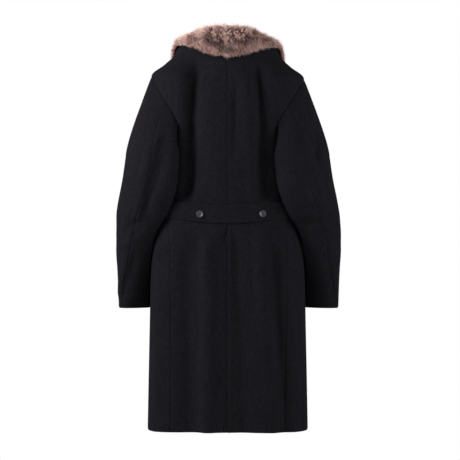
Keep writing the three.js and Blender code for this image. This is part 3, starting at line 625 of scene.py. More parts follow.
def front_lift(side: Side, angle: Values, level: Values) -> Values:
    """How far the left front lies out over the right one.

    Args:
        side: The wearer's left or right.
        angle: Angles round the body, in radians.
        level: Levels down the body.

    Returns:
        Millimetres outwards.
    """
    if side is Side.RIGHT:
        return np.zeros(np.broadcast(angle, level).shape)
    x = Body.form(angle, level)[..., 0]
    lift = (CLOTH + FRONT_GAP) * smooth(LIFT_FAR, LIFT_NEAR, x) * smooth(LIFT_TOP, LIFT_WHOLE, level)
    return np.where(np.cos(angle) < 0, lift, 0)


def vent_drop(side: Side, angle: Values, level: Values) -> Values:
    """How far the vent's underlap lies in under the other back.

    Args:
        side: The wearer's left or right.
        angle: Angles round the body, in radians.
        level: Levels down the body.

    Returns:
        Millimetres inwards.
    """
    x = Body.form(angle, level)[..., 0]
    run = VENT_STEP + VENT_EASE * smooth(0, VENT_NEAR, x)
    drop = (CLOTH + VENT_GAP) * smooth(VENT_FAR, VENT_NEAR, x) * smooth(VENT_LEVEL, VENT_LEVEL + run, level)
    return np.where((side is Side.LEFT) & (level >= VENT_LEVEL), drop, 0)


# ---- meshes
def mesh_object(name: str, points: Points, faces: Sequence[Sequence[int]]) -> Object:
    """Makes a smooth-shaded mesh object at the origin.

    Args:
        name: The piece's name.
        points: Its points, in millimetres.
        faces: Its faces, as indexes.

    Returns:
        The new object.
    """
    mesh = bpy.data.meshes.new(name)
    mesh.from_pydata((np.asarray(points) * MM).tolist(), [], [list(map(int, f)) for f in faces])
    mesh.polygons.foreach_set("use_smooth", np.ones(len(mesh.polygons), bool))
    mesh.update()
    piece = bpy.data.objects.new(name, mesh)
    bpy.context.scene.collection.objects.link(piece)
    return piece


def face_outwards(piece: Object) -> None:
    """Turns a closed mesh the right way round if its volume comes out negative.

    Args:
        piece: The closed mesh.
    """
    work = bmesh.new()
    work.from_mesh(piece.data)
    if work.calc_volume(signed=True) < 0:
        bmesh.ops.reverse_faces(work, faces=work.faces)
    work.to_mesh(piece.data)
    work.free()


def wall(name: str, outer: Points, inner: Points) -> Object:
    """A closed thin shell between two grids of points.

    Args:
        name: The piece's name.
        outer: Grid of outer points.
        inner: Grid of inner points, of the same shape.

    Returns:
        The shell, facing out.
    """
    rows, columns = outer.shape[:2]
    number = np.arange(rows * columns).reshape(rows, columns)
    a, b = number[:-1, :-1], number[1:, :-1]
    c, d = number[1:, 1:], number[:-1, 1:]
    front = np.stack([a, b, c, d], axis=-1).reshape(-1, 4)
    behind = front[:, ::-1] + rows * columns
    ring = np.concatenate([number[0, :], number[1:, -1], number[-1, -2::-1], number[-2:0:-1, 0]])
    after = np.roll(ring, -1)
    rim = np.stack([ring, after, after + rows * columns, ring + rows * columns], axis=-1)
    points = np.concatenate([outer.reshape(-1, 3), inner.reshape(-1, 3)])
    piece = mesh_object(name, points, np.concatenate([front, behind, rim]))
    face_outwards(piece)
    return piece


def edged(length: float, count: int) -> Values:
    """Distances along a row, close together at its two ends.

    Args:
        length: The row's length.
        count: How many even steps the middle has.

    Returns:
        Rising distances from 0 to the length.
    """
    near = np.array(EDGE_STEPS) * min(1.0, length / 40)
    middle = np.linspace(near[-1], length - near[-1], count + 1)[1:-1]
    return np.concatenate([near, middle, (length - near)[::-1]])


def edge_roll(distance: Values) -> Values:
    """How far a cut edge rolls in at a distance from it."""
    return SEAM_DIP * np.exp(-((np.asarray(distance) / SEAM_HALF) ** 2))


def rolls(down: Values, across: Values) -> Values:
    """The roll of a panel's four edges.

    Args:
        down: Each row's distances from its two ends, as (rows, 2).
        across: Each point's distances from the row's ends, as (rows, columns, 2).

    Returns:
        Millimetres inwards for every point.
    """
    return edge_roll(across.min(axis=-1)) + edge_roll(down.min(axis=-1))[:, None]


# ---- finishes
def linear(colour: str) -> tuple[float, float, float, float]:
    """Turns an sRGB hex colour to linear.

    Args:
        colour: Six hex digits.

    Returns:
        Red, green, blue and an alpha of 1.
    """
    parts = [int(colour[i : i + 2], 16) / 255 for i in (0, 2, 4)]
    lines = [c / 12.92 if c <= 0.04045 else ((c + 0.055) / 1.055) ** 2.4 for c in parts]
    return (*lines, 1.0)


def add_node(
    tree: bpy.types.NodeTree, kind: str, settings: dict[str, object], links: dict[object, object]
) -> bpy.types.Node:
    """Adds one node.

    Args:
        tree: The node tree.
        kind: The node's type.
        settings: Attributes by name, a colour ramp's stops, and socket values by name or number behind
            an equals sign.
        links: Output sockets to link, by the name or number of the input.

    Returns:
        The node.
    """
    node = tree.nodes.new(kind)
    for key, value in settings.items():
        if key.startswith("="):
            socket = key[1:]
            node.inputs[int(socket) if socket.isdigit() else socket].default_value = value
        elif key == "stops":
            elements = node.color_ramp.elements
            while len(elements) < len(value):
                elements.new(0.5)
            for element, (place, colour) in zip(elements, value):
                element.position, element.color = place, linear(colour)
        else:
            setattr(node, key, value)
    for key, output in links.items():
        tree.links.new(output, node.inputs[key])
    return node


def new_tree(name: str) -> tuple[Material, bpy.types.NodeTree]:
    """An empty node material and its tree.

    Args:
        name: The material's name.

    Returns:
        The material, and its tree with no nodes.
    """
    material = bpy.data.materials.new(name)
    material.use_nodes = True
    material.node_tree.nodes.clear()
    return material, material.node_tree


def close_tree(
    tree: bpy.types.NodeTree, settings: dict[str, object], links: dict[object, object]
) -> None:
    """Adds the shader and the output.

    Args:
        tree: The node tree.
        settings: The shader's own values.
        links: What is linked to the shader.
    """
    shader = add_node(tree, "ShaderNodeBsdfPrincipled", settings, links)
    add_node(tree, "ShaderNodeOutputMaterial", {}, {"Surface": shader.outputs["BSDF"]})


@dataclass(frozen=True)
class Melton:
    """Heavy wool melton, fulled until the weave is hidden and then cropped and brushed down.

    It is deep black with a breath of violet. The nap scatters light at grazing angles, so edges and folds
    turn a little grey, and it lies in faint streaks and clouds where it has been brushed or rubbed.
    """

    name: str = "melton_wool_brushed"
    colours: Stops = ((0.4, "111013"), (0.85, "1e1d21"))  # where the nap lies flat, where it stands up
    sheen: str = "b9b8cc"
    rough: tuple[float, float] = (0.86, 0.98)
    cloud_mm: float = 34.0
    cloud_share: float = 0.22  # of the cloud in the colour, beside the nap
    nap_mm: float = 3.2  # real fibres are 0.02 mm, far too fine to show, so the nap is drawn as tufts
    bump_mm: float = 0.12

    def make(self) -> Material:
        """Builds the material.

        Returns:
            The material.
        """
        material, tree = new_tree(self.name)
        place = add_node(tree, "ShaderNodeTexCoord", {}, {}).outputs["Object"]
        brushed = add_node(
            tree, "ShaderNodeMapping", {"=Scale": (1.0, 1.0, 0.35)}, {"Vector": place}
        ).outputs["Vector"]
        cloud = add_node(
            tree,
            "ShaderNodeTexNoise",
            {"=Scale": 1 / (self.cloud_mm * MM), "=Detail": 3.0, "=Roughness": 0.55},
            {"Vector": brushed},
        ).outputs["Fac"]
        nap = add_node(
            tree,
            "ShaderNodeTexNoise",
            {"=Scale": 1 / (self.nap_mm * MM), "=Detail": 4.0, "=Roughness": 0.65},
            {"Vector": brushed},
        ).outputs["Fac"]
        both = add_node(
            tree,
            "ShaderNodeMath",
            {"operation": "MULTIPLY_ADD", "=1": self.cloud_share},
            {0: cloud, 2: nap},
        ).outputs["Value"]
        colour = add_node(tree, "ShaderNodeValToRGB", {"stops": self.colours}, {"Fac": both})
        bump = add_node(
            tree, "ShaderNodeBump", {"=Strength": 0.6, "=Distance": self.bump_mm * MM}, {"Height": nap}
        ).outputs["Normal"]
        low, high = self.rough
        rough = add_node(
            tree, "ShaderNodeMapRange", {"=To Min": low, "=To Max": high}, {"Value": cloud}
        ).outputs["Result"]
        settings = {
            "=Specular IOR Level": 0.0,
            "=Sheen Weight": 0.012,
            "=Sheen Roughness": 0.45,
            "=Sheen Tint": linear(self.sheen),
        }
        links = {"Base Color": colour.outputs["Color"], "Roughness": rough, "Normal": bump}
        close_tree(tree, settings, links)
        return material


@dataclass(frozen=True)
class FurHair:
    """Long pinkish brown guard hair with dark roots and pale, almost white tips, uneven in colour from lock
    to lock, and painted lighter on top of the roll as a painted highlight.
    """

    name: str = "fur_guard_hair"
    usual: Stops = ((0.0, "54403c"), (0.42, "c08a7c"), (0.72, "c08a7c"), (1.0, "fbe2d8"))  # root to tip
    dark: Stops = ((0.0, "1d1617"), (0.6, "2f2425"), (1.0, "8a7370"))
    # The palest hairs: pale by chance, and painted pale on top of the roll as a painted highlight.
    pale_and_highlit: Stops = ((0.0, "c08a7c"), (0.5, "f4d0c3"), (1.0, "fff4ee"))

    def make(self) -> Material:
        """Builds the material from what each hair carries: its tone, its paleness and the place along it.

        Returns:
            The material.
        """
        material, tree = new_tree(self.name)
        along, tone, pale = (
            add_node(tree, "ShaderNodeAttribute", {"attribute_name": f"hair_{carried}"}, {}).outputs["Fac"]
            for carried in ("along", "tone", "pale")
        )
        usual, dark, pale_and_highlit = (
            add_node(tree, "ShaderNodeValToRGB", {"stops": stops}, {"Fac": along}).outputs["Color"]
            for stops in (self.usual, self.dark, self.pale_and_highlit)
        )
        # Inputs 6 and 7 of a colour mix are its two colours, and output 2 is their mix.
        shaded = add_node(
            tree, "ShaderNodeMix", {"data_type": "RGBA"}, {"Factor": tone, 6: dark, 7: usual}
        ).outputs[2]
        # Hairs past their usual tone turn pale here: by chance, and as the painted highlight on top of the
        # roll.
        colour = add_node(
            tree, "ShaderNodeMix", {"data_type": "RGBA"}, {"Factor": pale, 6: shaded, 7: pale_and_highlit}
        ).outputs[2]
        settings = {"=Roughness": 0.6, "=Specular IOR Level": 0.2, "=Sheen Weight": 0.05}
        close_tree(tree, settings, {"Base Color": colour})
        return material


@dataclass(frozen=True)
class Underfur:
    """The dense wool under the guard hair, dark and matt, seen only where the hair parts."""

    name: str = "fur_underwool"
    # The colour follows the bump's noise, darker where the wool sinks between the tufts: painted shade in
    # the hollows.
    colours: Stops = ((0.35, "2a1f1f"), (0.7, "7d6058"))  # between the tufts, on them
    tuft_mm: float = 6.0
    bump_mm: float = 2.0

    def make(self) -> Material:
        """Builds the material.

        Returns:
            The material.
        """
        material, tree = new_tree(self.name)
        place = add_node(tree, "ShaderNodeTexCoord", {}, {}).outputs["Object"]
        tuft = add_node(
            tree,
            "ShaderNodeTexNoise",
            {"=Scale": 1 / (self.tuft_mm * MM), "=Detail": 5.0, "=Roughness": 0.7},
            {"Vector": place},
        ).outputs["Fac"]
        # The same noise as the bump darkens its hollows: painted shade.
        colour = add_node(tree, "ShaderNodeValToRGB", {"stops": self.colours}, {"Fac": tuft})
        bump = add_node(
            tree, "ShaderNodeBump", {"=Strength": 1.0, "=Distance": self.bump_mm * MM}, {"Height": tuft}
        ).outputs["Normal"]
        settings = {"=Roughness": 0.95, "=Specular IOR Level": 0.1}
        close_tree(tree, settings, {"Base Color": colour.outputs["Color"], "Normal": bump})
        return material


@dataclass(frozen=True)
class HornResin:
    """Cast polyester resin that imitates buffalo horn: near black with faint smoky streaks, polished."""

    name: str = "button_resin_polished"
    colours: Stops = ((0.42, "0d0c0f"), (0.75, "34303a"))  # the ground, the streaks
    rough: tuple[float, float] = (0.42, 0.58)
    streak_mm: float = 5.0

    def make(self) -> Material:
        """Builds the material.

        Returns:
            The material.
        """
        material, tree = new_tree(self.name)
        place = add_node(tree, "ShaderNodeTexCoord", {}, {}).outputs["Object"]
        streak = add_node(
            tree,
            "ShaderNodeTexNoise",
            {"=Scale": 1 / (self.streak_mm * MM), "=Detail": 3.0, "=Distortion": 1.6},
            {"Vector": place},
        ).outputs["Fac"]
        colour = add_node(tree, "ShaderNodeValToRGB", {"stops": self.colours}, {"Fac": streak})
        low, high = self.rough
        rough = add_node(tree, "ShaderNodeMapRange", {"=To Min": low, "=To Max": high}, {"Value": streak})
        settings = {"=IOR": 1.56, "=Coat Weight": 0.1, "=Coat Roughness": 0.25}
        links = {"Base Color": colour.outputs["Color"], "Roughness": rough.outputs["Result"]}
        close_tree(tree, settings, links)
        return material


@dataclass(frozen=True)
class Thread:
    """Waxed black button thread, twisted, with the ridge of each ply catching the light."""

    name: str = "thread_waxed"
    colours: Stops = ((0.2, "0c0b0e"), (0.9, "2b2932"))  # between the plies, on them
    ply_mm: float = 1.089
    wave_period: float = 0.363  # of a diagonal wave texture at a scale of 1

    def make(self) -> Material:
        """Builds the material.

        Returns:
            The material.
        """
        material, tree = new_tree(self.name)
        place = add_node(tree, "ShaderNodeTexCoord", {}, {}).outputs["Object"]
        ply = add_node(
            tree,
            "ShaderNodeTexWave",
            {
                "bands_direction": "DIAGONAL",
                "=Scale": self.wave_period / (self.ply_mm * MM),
                "=Distortion": 1.0,
            },
            {"Vector": place},
        ).outputs["Fac"]
        colour = add_node(tree, "ShaderNodeValToRGB", {"stops": self.colours}, {"Fac": ply})
        close_tree(tree, {"=Roughness": 0.6}, {"Base Color": colour.outputs["Color"]})
        return material


@dataclass(frozen=True)
class StudioFloor:
    """Seamless white paper: matt, and very slightly uneven."""

    name: str = "paper_white"
    colours: Stops = ((0.3, "f5f5f5"), (0.7, "fbfbfb"))
    tooth_mm: float = 1000 / 3  # its fibres are far too fine to show, so they are drawn as a faint cloud

    def make(self) -> Material:
        """Builds the material.

        Returns:
            The material.
        """
        material, tree = new_tree(self.name)
        place = add_node(tree, "ShaderNodeTexCoord", {}, {}).outputs["Object"]
        tooth = add_node(
            tree,
            "ShaderNodeTexNoise",
            {"=Scale": 1 / (self.tooth_mm * MM), "=Detail": 2.0},
            {"Vector": place},
        ).outputs["Fac"]
        colour = add_node(tree, "ShaderNodeValToRGB", {"stops": self.colours}, {"Fac": tooth})
        close_tree(tree, {"=Roughness": 0.9}, {"Base Color": colour.outputs["Color"]})
        return material


# ---- dressing
@dataclass
class Cut:
    """How a piece of cloth was cut: width and length of its flat cut, in metres."""

    flat: tuple[float, float]
    held: str
    rests_on: tuple[str, ...]
    area: float | None = None


@dataclass
class Wardrobe:
    """The finishes, and how a piece is dressed."""

    melton: Material
    hair: Material
    underfur: Material
    horn: Material
    thread: Material

    def dress(
        self, piece: Object, material: Material, nodes: Sequence[str]
    ) -> None:
        """Gives a piece its finish and ties it to the coat.

        Args:
            piece: The piece.
            material: Its finish.
            nodes: The CAD nodes that it stands for.
        """
        piece.data.materials.clear()
        piece.data.materials.append(material)
        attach(piece, "root")
        if nodes:
            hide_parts(*nodes)
        log.info("%s: %d faces", piece.name, len(piece.data.polygons))

    def cloth(self, piece: Object, node: str) -> None:
        self.dress(piece, self.melton, [node])


# ---- backs and fronts
@dataclass
class Panels:
    """The two backs and the two fronts."""

    row_step: float = 7.0
    shoulder_from: float = 15.0
    shoulder_step: float = 5.0
    turn_step: float = 5.0  # degrees round the armhole
    row_room: float = 2.5  # rows of the skirt nearer than this to the vent's own rows are left out
    back_columns: int = 70
    front_columns: int = 64
    measured: int = 241  # places that measure a row's length
    back_cuts: ClassVar[dict[Side, Cut]] = {
        Side.LEFT: Cut((0.28, 1.10), "hung", ("body_front_left", "body_front_right"), 0.234),
        Side.RIGHT: Cut((0.25, 1.10), "hung", ("body_front_left", "body_front_right"), 0.212),
    }
    front_cut: ClassVar[Cut] = Cut((0.46, 1.12), "hung", ("body_back_left", "body_back_right"), 0.44)

    def levels(self) -> Values:
        """The rows' levels, close together at the neck, round the armhole, at the vent and at the hem.

        Returns:
            Rising levels.
        """
        near = np.array(EDGE_STEPS)
        shoulder = np.arange(self.shoulder_from, TIP_LEVEL - 4, self.shoulder_step)
        armhole = level_of_turn(np.arange(0, 180.1, self.turn_step))
        skirt = np.arange(PIT_LEVEL + 6, HEM_LEVEL - near[-1] - 2, self.row_step)
        vent = np.array([VENT_LEVEL - 0.1, VENT_LEVEL, VENT_LEVEL + VENT_HEAD])
        skirt = skirt[np.abs(skirt[:, None] - vent).min(axis=1) > self.row_room]
        return np.unique(np.concatenate([near, shoulder, armhole, skirt, vent, HEM_LEVEL - near]))

    def grid(
        self, start: Values, end: Values, levels: Values, count: int
    ) -> tuple[Values, Values]:
        """Spreads a panel's columns along the cloth.

        Args:
            start: Each row's first angle.
            end: Each row's last angle.
            levels: The rows' levels.
            count: Even columns in the middle.

        Returns:
            The angles, and each point's distances from the row's two ends.
        """
        fine = np.linspace(0, 1, self.measured)
        angles, away = [], []
        for first, last, level in zip(start, end, levels):
            many = first + (last - first) * fine
            points = Body.form(many, np.full_like(many, level))
            run = np.concatenate([[0], np.cumsum(np.linalg.norm(np.diff(points, axis=0), axis=1))])
            wanted = edged(run[-1], count)
            angles.append(np.interp(wanted, run, many))
            away.append(np.stack([wanted, run[-1] - wanted], axis=-1))
        return np.array(angles), np.array(away)

    def back(self, side: Side) -> Object:
        """Builds one back.

        Args:
            side: The wearer's left or right.

        Returns:
            The shell.
        """
        levels = self.levels()
        seam = Body.angle_at(np.zeros_like(levels), levels, Face.BACK)
        if side is Side.LEFT:
            under = -VENT_UNDERLAP * smooth(VENT_LEVEL, VENT_LEVEL + VENT_HEAD, levels)
            seam = np.where(levels < VENT_LEVEL, seam, Body.angle_at(under, levels, Face.BACK))
        angles, away = self.grid(seam, back_edge(levels), levels, self.back_columns)
        return self.shell(f"body_back_{side.word}", side, angles, levels, away, vent_drop, -1.0)

    def front(self, side: Side) -> Object:
        """Builds one front.

        Args:
            side: The wearer's left or right.

        Returns:
            The shell.
        """
        levels = self.levels()
        start = Body.angle_at(roll_x(levels), levels, Face.FRONT)
        angles, away = self.grid(start, front_edge(levels), levels, self.front_columns)
        return self.shell(f"body_front_{side.word}", side, angles, levels, away, front_lift, 1.0)

    def shell(
        self,
        name: str,
        side: Side,
        angles: Values,
        levels: Values,
        away: Values,
        move: Callable[[Side, Values, Values], Values],
        way: float,
    ) -> Object:
        """Builds a panel's shell.

        Args:
            name: The piece's name.
            side: The wearer's left or right.
            angles: The grid's angles on the wearer's left.
            levels: The rows' levels.
            away: Distances from the row's ends.
            move: How far the panel is moved off the body.
            way: The direction of that move.

        Returns:
            The shell.
        """
        level = np.broadcast_to(levels[:, None], angles.shape)
        lift = way * move(side, angles, level)
        down = np.stack([levels, HEM_LEVEL - levels], axis=-1)
        roll = rolls(down, away)
        outer = Body.out(side.value * angles, level, lift + CLOTH - roll)
        inner = Body.out(side.value * angles, level, lift + INSIDE_DIP * roll)
        return wall(name, outer, inner)

    def build(self, wardrobe: Wardrobe) -> None:
        """Builds and dresses all four."""
        for side in Side:
            wardrobe.cloth(self.back(side), f"back_{side.word}")
            wardrobe.cloth(self.front(side), f"front_{side.word}")


# ---- sleeves
@dataclass
class Sleeves:
    """The top sleeve and the under sleeve of each arm.

    A place down the sleeve runs from 0 to 1 over its head, and is one more than the drop below the head
    after that.
    """

    head_starts: tuple[float, ...] = (0, 0.004, 0.01, 0.018, 0.03, 0.045)  # rows close to the armhole
    head_rows: int = 40
    head_length: float = 170.0  # of the cloth, from the armhole to the end of the head
    row_step: float = 5.5
    top_columns: int = 66
    under_columns: int = 44
    top_cut: ClassVar[Cut] = Cut((0.29, 0.66), "hung", (), 0.153)
    under_cut: ClassVar[Cut] = Cut((0.22, 0.54), "hung", (), 0.101)
    edges: ClassVar[dict[Side, tuple[Points, Points, Points]]] = {}

    def downs(self) -> Values:
        """The rows' places down the sleeve, close together at the armhole and the cuff.

        Returns:
            Rising places.
        """
        head = np.concatenate([self.head_starts, np.linspace(0.065, 1, self.head_rows)])
        length = CUFF_DROP - CAP_DROP
        near = length + 1 - np.array(EDGE_STEPS)[::-1]
        return np.concatenate([head, np.arange(6.0, length - 12, self.row_step) + 1, near])

    @staticmethod
    def armhole_edge(side: Side, turn: Values) -> tuple[Points, Points, Points]:
        """The armhole's edge.

        Args:
            side: The wearer's left or right.
            turn: Degrees round the sleeve, from the shoulder tip over the back.

        Returns:
            The edge's points, the body's normals there, and the directions into the armhole.
        """

        def place(at: Values) -> tuple[Values, Values]:
            """The angle and level on the body at a turn.

            Args:
                at: Turns round the sleeve.

            Returns:
                The angles and the levels.
            """
            folded = np.where(at <= 180, at, 360 - at)
            back, front = ARMHOLE.at(folded)
            return side.value * np.radians(np.where(at <= 180, back, front)), level_of_turn(folded)

        near, ahead, behind = place(turn), place((turn + 4) % 360), place((turn - 4) % 360)
        normal = Body.normal(Body.skin, *near)
        along = Body.skin(*ahead) - Body.skin(*behind)
        return Body.skin(*near), normal, unit(np.cross(along, normal)) * side.value

    @classmethod
    def edge_at(cls, side: Side, turn: Values) -> tuple[Points, Points, Points]:
        """The same, read from a table with a row for each degree.

        Args:
            side: The wearer's left or right.
            turn: Degrees round the sleeve.

        Returns:
            What armhole_edge returns.
        """
        if side not in cls.edges:
            cls.edges[side] = cls.armhole_edge(side, np.arange(0.0, 361.0))
        turn = np.asarray(turn, float) % 360
        low = np.floor(turn).astype(int)
        share = (turn - low)[..., None]
        return tuple(table[low] * (1 - share) + table[low + 1] * share for table in cls.edges[side])

    @staticmethod
    def ring(turn: Values, drop: Values) -> Points:
        """Points of a sleeve's level section, before they are moved clear of the body.

        Args:
            turn: Degrees round the sleeve.
            drop: Drops from the neck seam's level.

        Returns:
            The points.
        """
        centre_x, centre_y, long, short, twist, *_ = SLEEVE_SECTIONS.at(drop)
        way, off = np.radians(turn), np.radians(turn - twist)
        reach = ((np.cos(off) / long) ** 2 + (np.sin(off) / short) ** 2) ** -0.5
        return stack(centre_x + reach * np.cos(way), centre_y + reach * np.sin(way), -drop)

    @staticmethod
    def clear(points: Points, clearance: Values) -> Points:
        """Moves points outside the body's cloth by a clearance.

        Args:
            points: The points.
            clearance: The room that they need.

        Returns:
            The points, moved where they need it.
        """
        level = np.clip(LEVEL_TO_Z - points[..., 2], 200, HEM_LEVEL)
        half, back, front, power, *_ = BODY_SECTIONS.at(level)
        depth = np.where(points[..., 1] >= 0, back, front) + clearance
        across = (np.abs(points[..., 0]) / (half + clearance)) ** power
        share = (across + (np.abs(points[..., 1]) / depth) ** power) ** (1 / power)
        moved = points.copy()
        moved[..., :2] /= np.minimum(share, 1)[..., None]
        return moved

    @staticmethod
    def clearance(drop: Values) -> Values:
        """The room between the body and a sleeve, larger where it rides over the half belt.

        Args:
            drop: Drops from the neck seam's level.

        Returns:
            Millimetres.
        """
        start, whole, end, gone = OVER_BELT
        over_belt = smooth(start, whole, drop) * smooth(gone, end, drop)
        return SLEEVE_CLEARANCE + (BELT_CLEARANCE - SLEEVE_CLEARANCE) * over_belt

    @classmethod
    def form(cls, side: Side, turn: Values, down: Values) -> Points:
        """The inside of a sleeve without its folds.

        Args:
            side: The wearer's left or right.
            turn: Degrees round the sleeve.
            down: Places down the sleeve.

        Returns:
            The points.
        """
        turn, down = np.broadcast_arrays(np.asarray(turn, float) % 360, np.asarray(down, float))
        mirror = np.array([side.value, 1, 1])
        drop = CAP_DROP + np.maximum(down, 1) - 1
        bare = cls.ring(turn, drop)
        bare[..., 0] += FOREARM_SHIFT[side.value] * smooth(*FOREARM_DROPS, drop)
        lower = cls.clear(bare, cls.clearance(drop)) * mirror
        edge, normal, into = cls.edge_at(side, turn)
        lift, start, end, swing = SLEEVE_HEAD.at(turn)
        from_top = np.minimum(turn, 360 - turn)
        if side is Side.RIGHT:
            start = start * (1 + (RIGHT_HEAD - 1) * smooth(90, 30, from_top))
        leave = unit(into + normal * lift[..., None]) * start[..., None]
        leave[..., 0] -= side.value * swing
        below = cls.clear(cls.ring(turn, np.full_like(down, CAP_DROP)), np.array(SLEEVE_CLEARANCE)) * mirror
        t = np.clip(down, 0, 1)[..., None]
        head = edge * (1 + 2 * t) * (1 - t) ** 2 + leave * t * (1 - t) ** 2 + below * t * t * (3 - 2 * t)
        head[..., 2:] += end[..., None] * t * t * (1 - t)
        cleared = cls.clear(head, SLEEVE_CLEARANCE * smooth(0, 0.5, t[..., 0]))
        low = (head[..., 2:] <= HEAD_CLEAR_Z) & (t > 0)
        head = np.where(low, cleared, head)
        return np.where(down[..., None] >= 1, lower, head)

    @staticmethod
    def normal(side: Side, surface: Surface, turn: Values, down: Values) -> Points:
        """The outward normal of a sleeve's surface.

        Args:
            side: The wearer's left or right.
            surface: Gives points by turn and place down.
            turn: Degrees round the sleeve.
            down: Places down the sleeve.

        Returns:
            Unit vectors.
        """
        across = surface(turn + 0.7, down) - surface(turn - 0.7, down)
        cuff = CUFF_DROP - CAP_DROP + 1
        above = np.where(down < 1, np.maximum(0, down - 0.015), down)
        below = np.where(down < 1, down + 0.015, down + 2.5)
        along = surface(turn, np.minimum(below, cuff)) - surface(turn, np.minimum(above, cuff - 2.5))
        return unit(np.cross(along, across)) * side.value

    @classmethod
    def skin(cls, side: Side, turn: Values, down: Values) -> Points:
        """The inside of a sleeve with its folds and creases.

        Args:
            side: The wearer's left or right.
            turn: Degrees round the sleeve.
            down: Places down the sleeve.

        Returns:
            The points.
        """
        base = cls.form(side, turn, down)
        across = (np.asarray(turn) % 360) * TURN_WIDTH
        drop = -base[..., 2]
        rise = sum(f.at(across, drop) for f in SLEEVE_FOLDS[side] + SLEEVE_CREASES[side])
        calm = smooth(0.05, 0.5, down) * smooth(CUFF_DROP - CAP_DROP + 1, CUFF_DROP - CAP_DROP - 40, down)
        around = 40 * np.cos(np.radians(turn))
        rise = rise + waviness(around + 17 * side.value, drop, 0.6) * calm
        plain = lambda t, d: cls.form(side, t, d)
        return base + cls.normal(side, plain, turn, down) * rise[..., None]

    @classmethod
    def out(cls, side: Side, turn: Values, down: Values, out: Values) -> Points:
        """Points of a sleeve's cloth, moved out from its inside.

        Args:
            side: The wearer's left or right.
            turn: Degrees round the sleeve.
            down: Places down the sleeve.
            out: Millimetres outwards.

        Returns:
            The points.
        """
        surface = lambda t, d: cls.skin(side, t, d)
        normal = cls.normal(side, surface, turn, down)
        at_seam = cls.edge_at(side, turn)[1]
        share = smooth(0, 0.3, down)[..., None]
        normal = unit(at_seam * (1 - share) + normal * share)
        return surface(turn, down) + normal * np.asarray(out)[..., None]

    @staticmethod
    def seams(down: Values) -> tuple[Values, Values]:
        """Turns of the hind-arm and the fore-arm seam.

        Args:
            down: Places down the sleeve.

        Returns:
            The turns of the two seams.
        """
        *_, hind, fore = SLEEVE_SECTIONS.at(CAP_DROP + np.maximum(down, 1) - 1)
        share = smooth(0, 1, down)
        return 4 * ARM_STEP * (1 - share) + hind * share, 12 * ARM_STEP * (1 - share) + fore * share

    def shell(self, side: Side, top: bool) -> Object:
        """Builds one half of a sleeve.

        Args:
            side: The wearer's left or right.
            top: The top sleeve, or else the under sleeve.

        Returns:
            The shell.
        """
        downs = self.downs()
        hind, fore = self.seams(downs)
        first, last = (fore, hind + 360) if top else (hind, fore)
        count = self.top_columns if top else self.under_columns
        steps = np.array([edged(length, count) for length in (last - first) * TURN_WIDTH])
        turn = first[:, None] + steps / TURN_WIDTH
        down = np.broadcast_to(downs[:, None], turn.shape)
        away = np.stack([steps, steps[:, -1:] - steps], axis=-1)
        reach = np.where(downs < 1, downs * self.head_length, downs + self.head_length)
        ends = np.stack([reach, reach[-1] - reach], axis=-1)
        roll = rolls(ends, away)
        outer = self.out(side, turn, down, CLOTH - roll)
        inner = self.out(side, turn, down, INSIDE_DIP * roll)
        part = "top" if top else "under"
        return wall(f"arm_{part}_{side.word}", outer, inner)

    def build(self, wardrobe: Wardrobe) -> None:
        """Builds and dresses the four sleeve pieces."""
        for side in Side:
            for top, cut in ((True, self.top_cut), (False, self.under_cut)):
                part = "top" if top else "under"
                piece = self.shell(side, top)
                wardrobe.cloth(piece, f"sleeve_{part}_{side.word}")


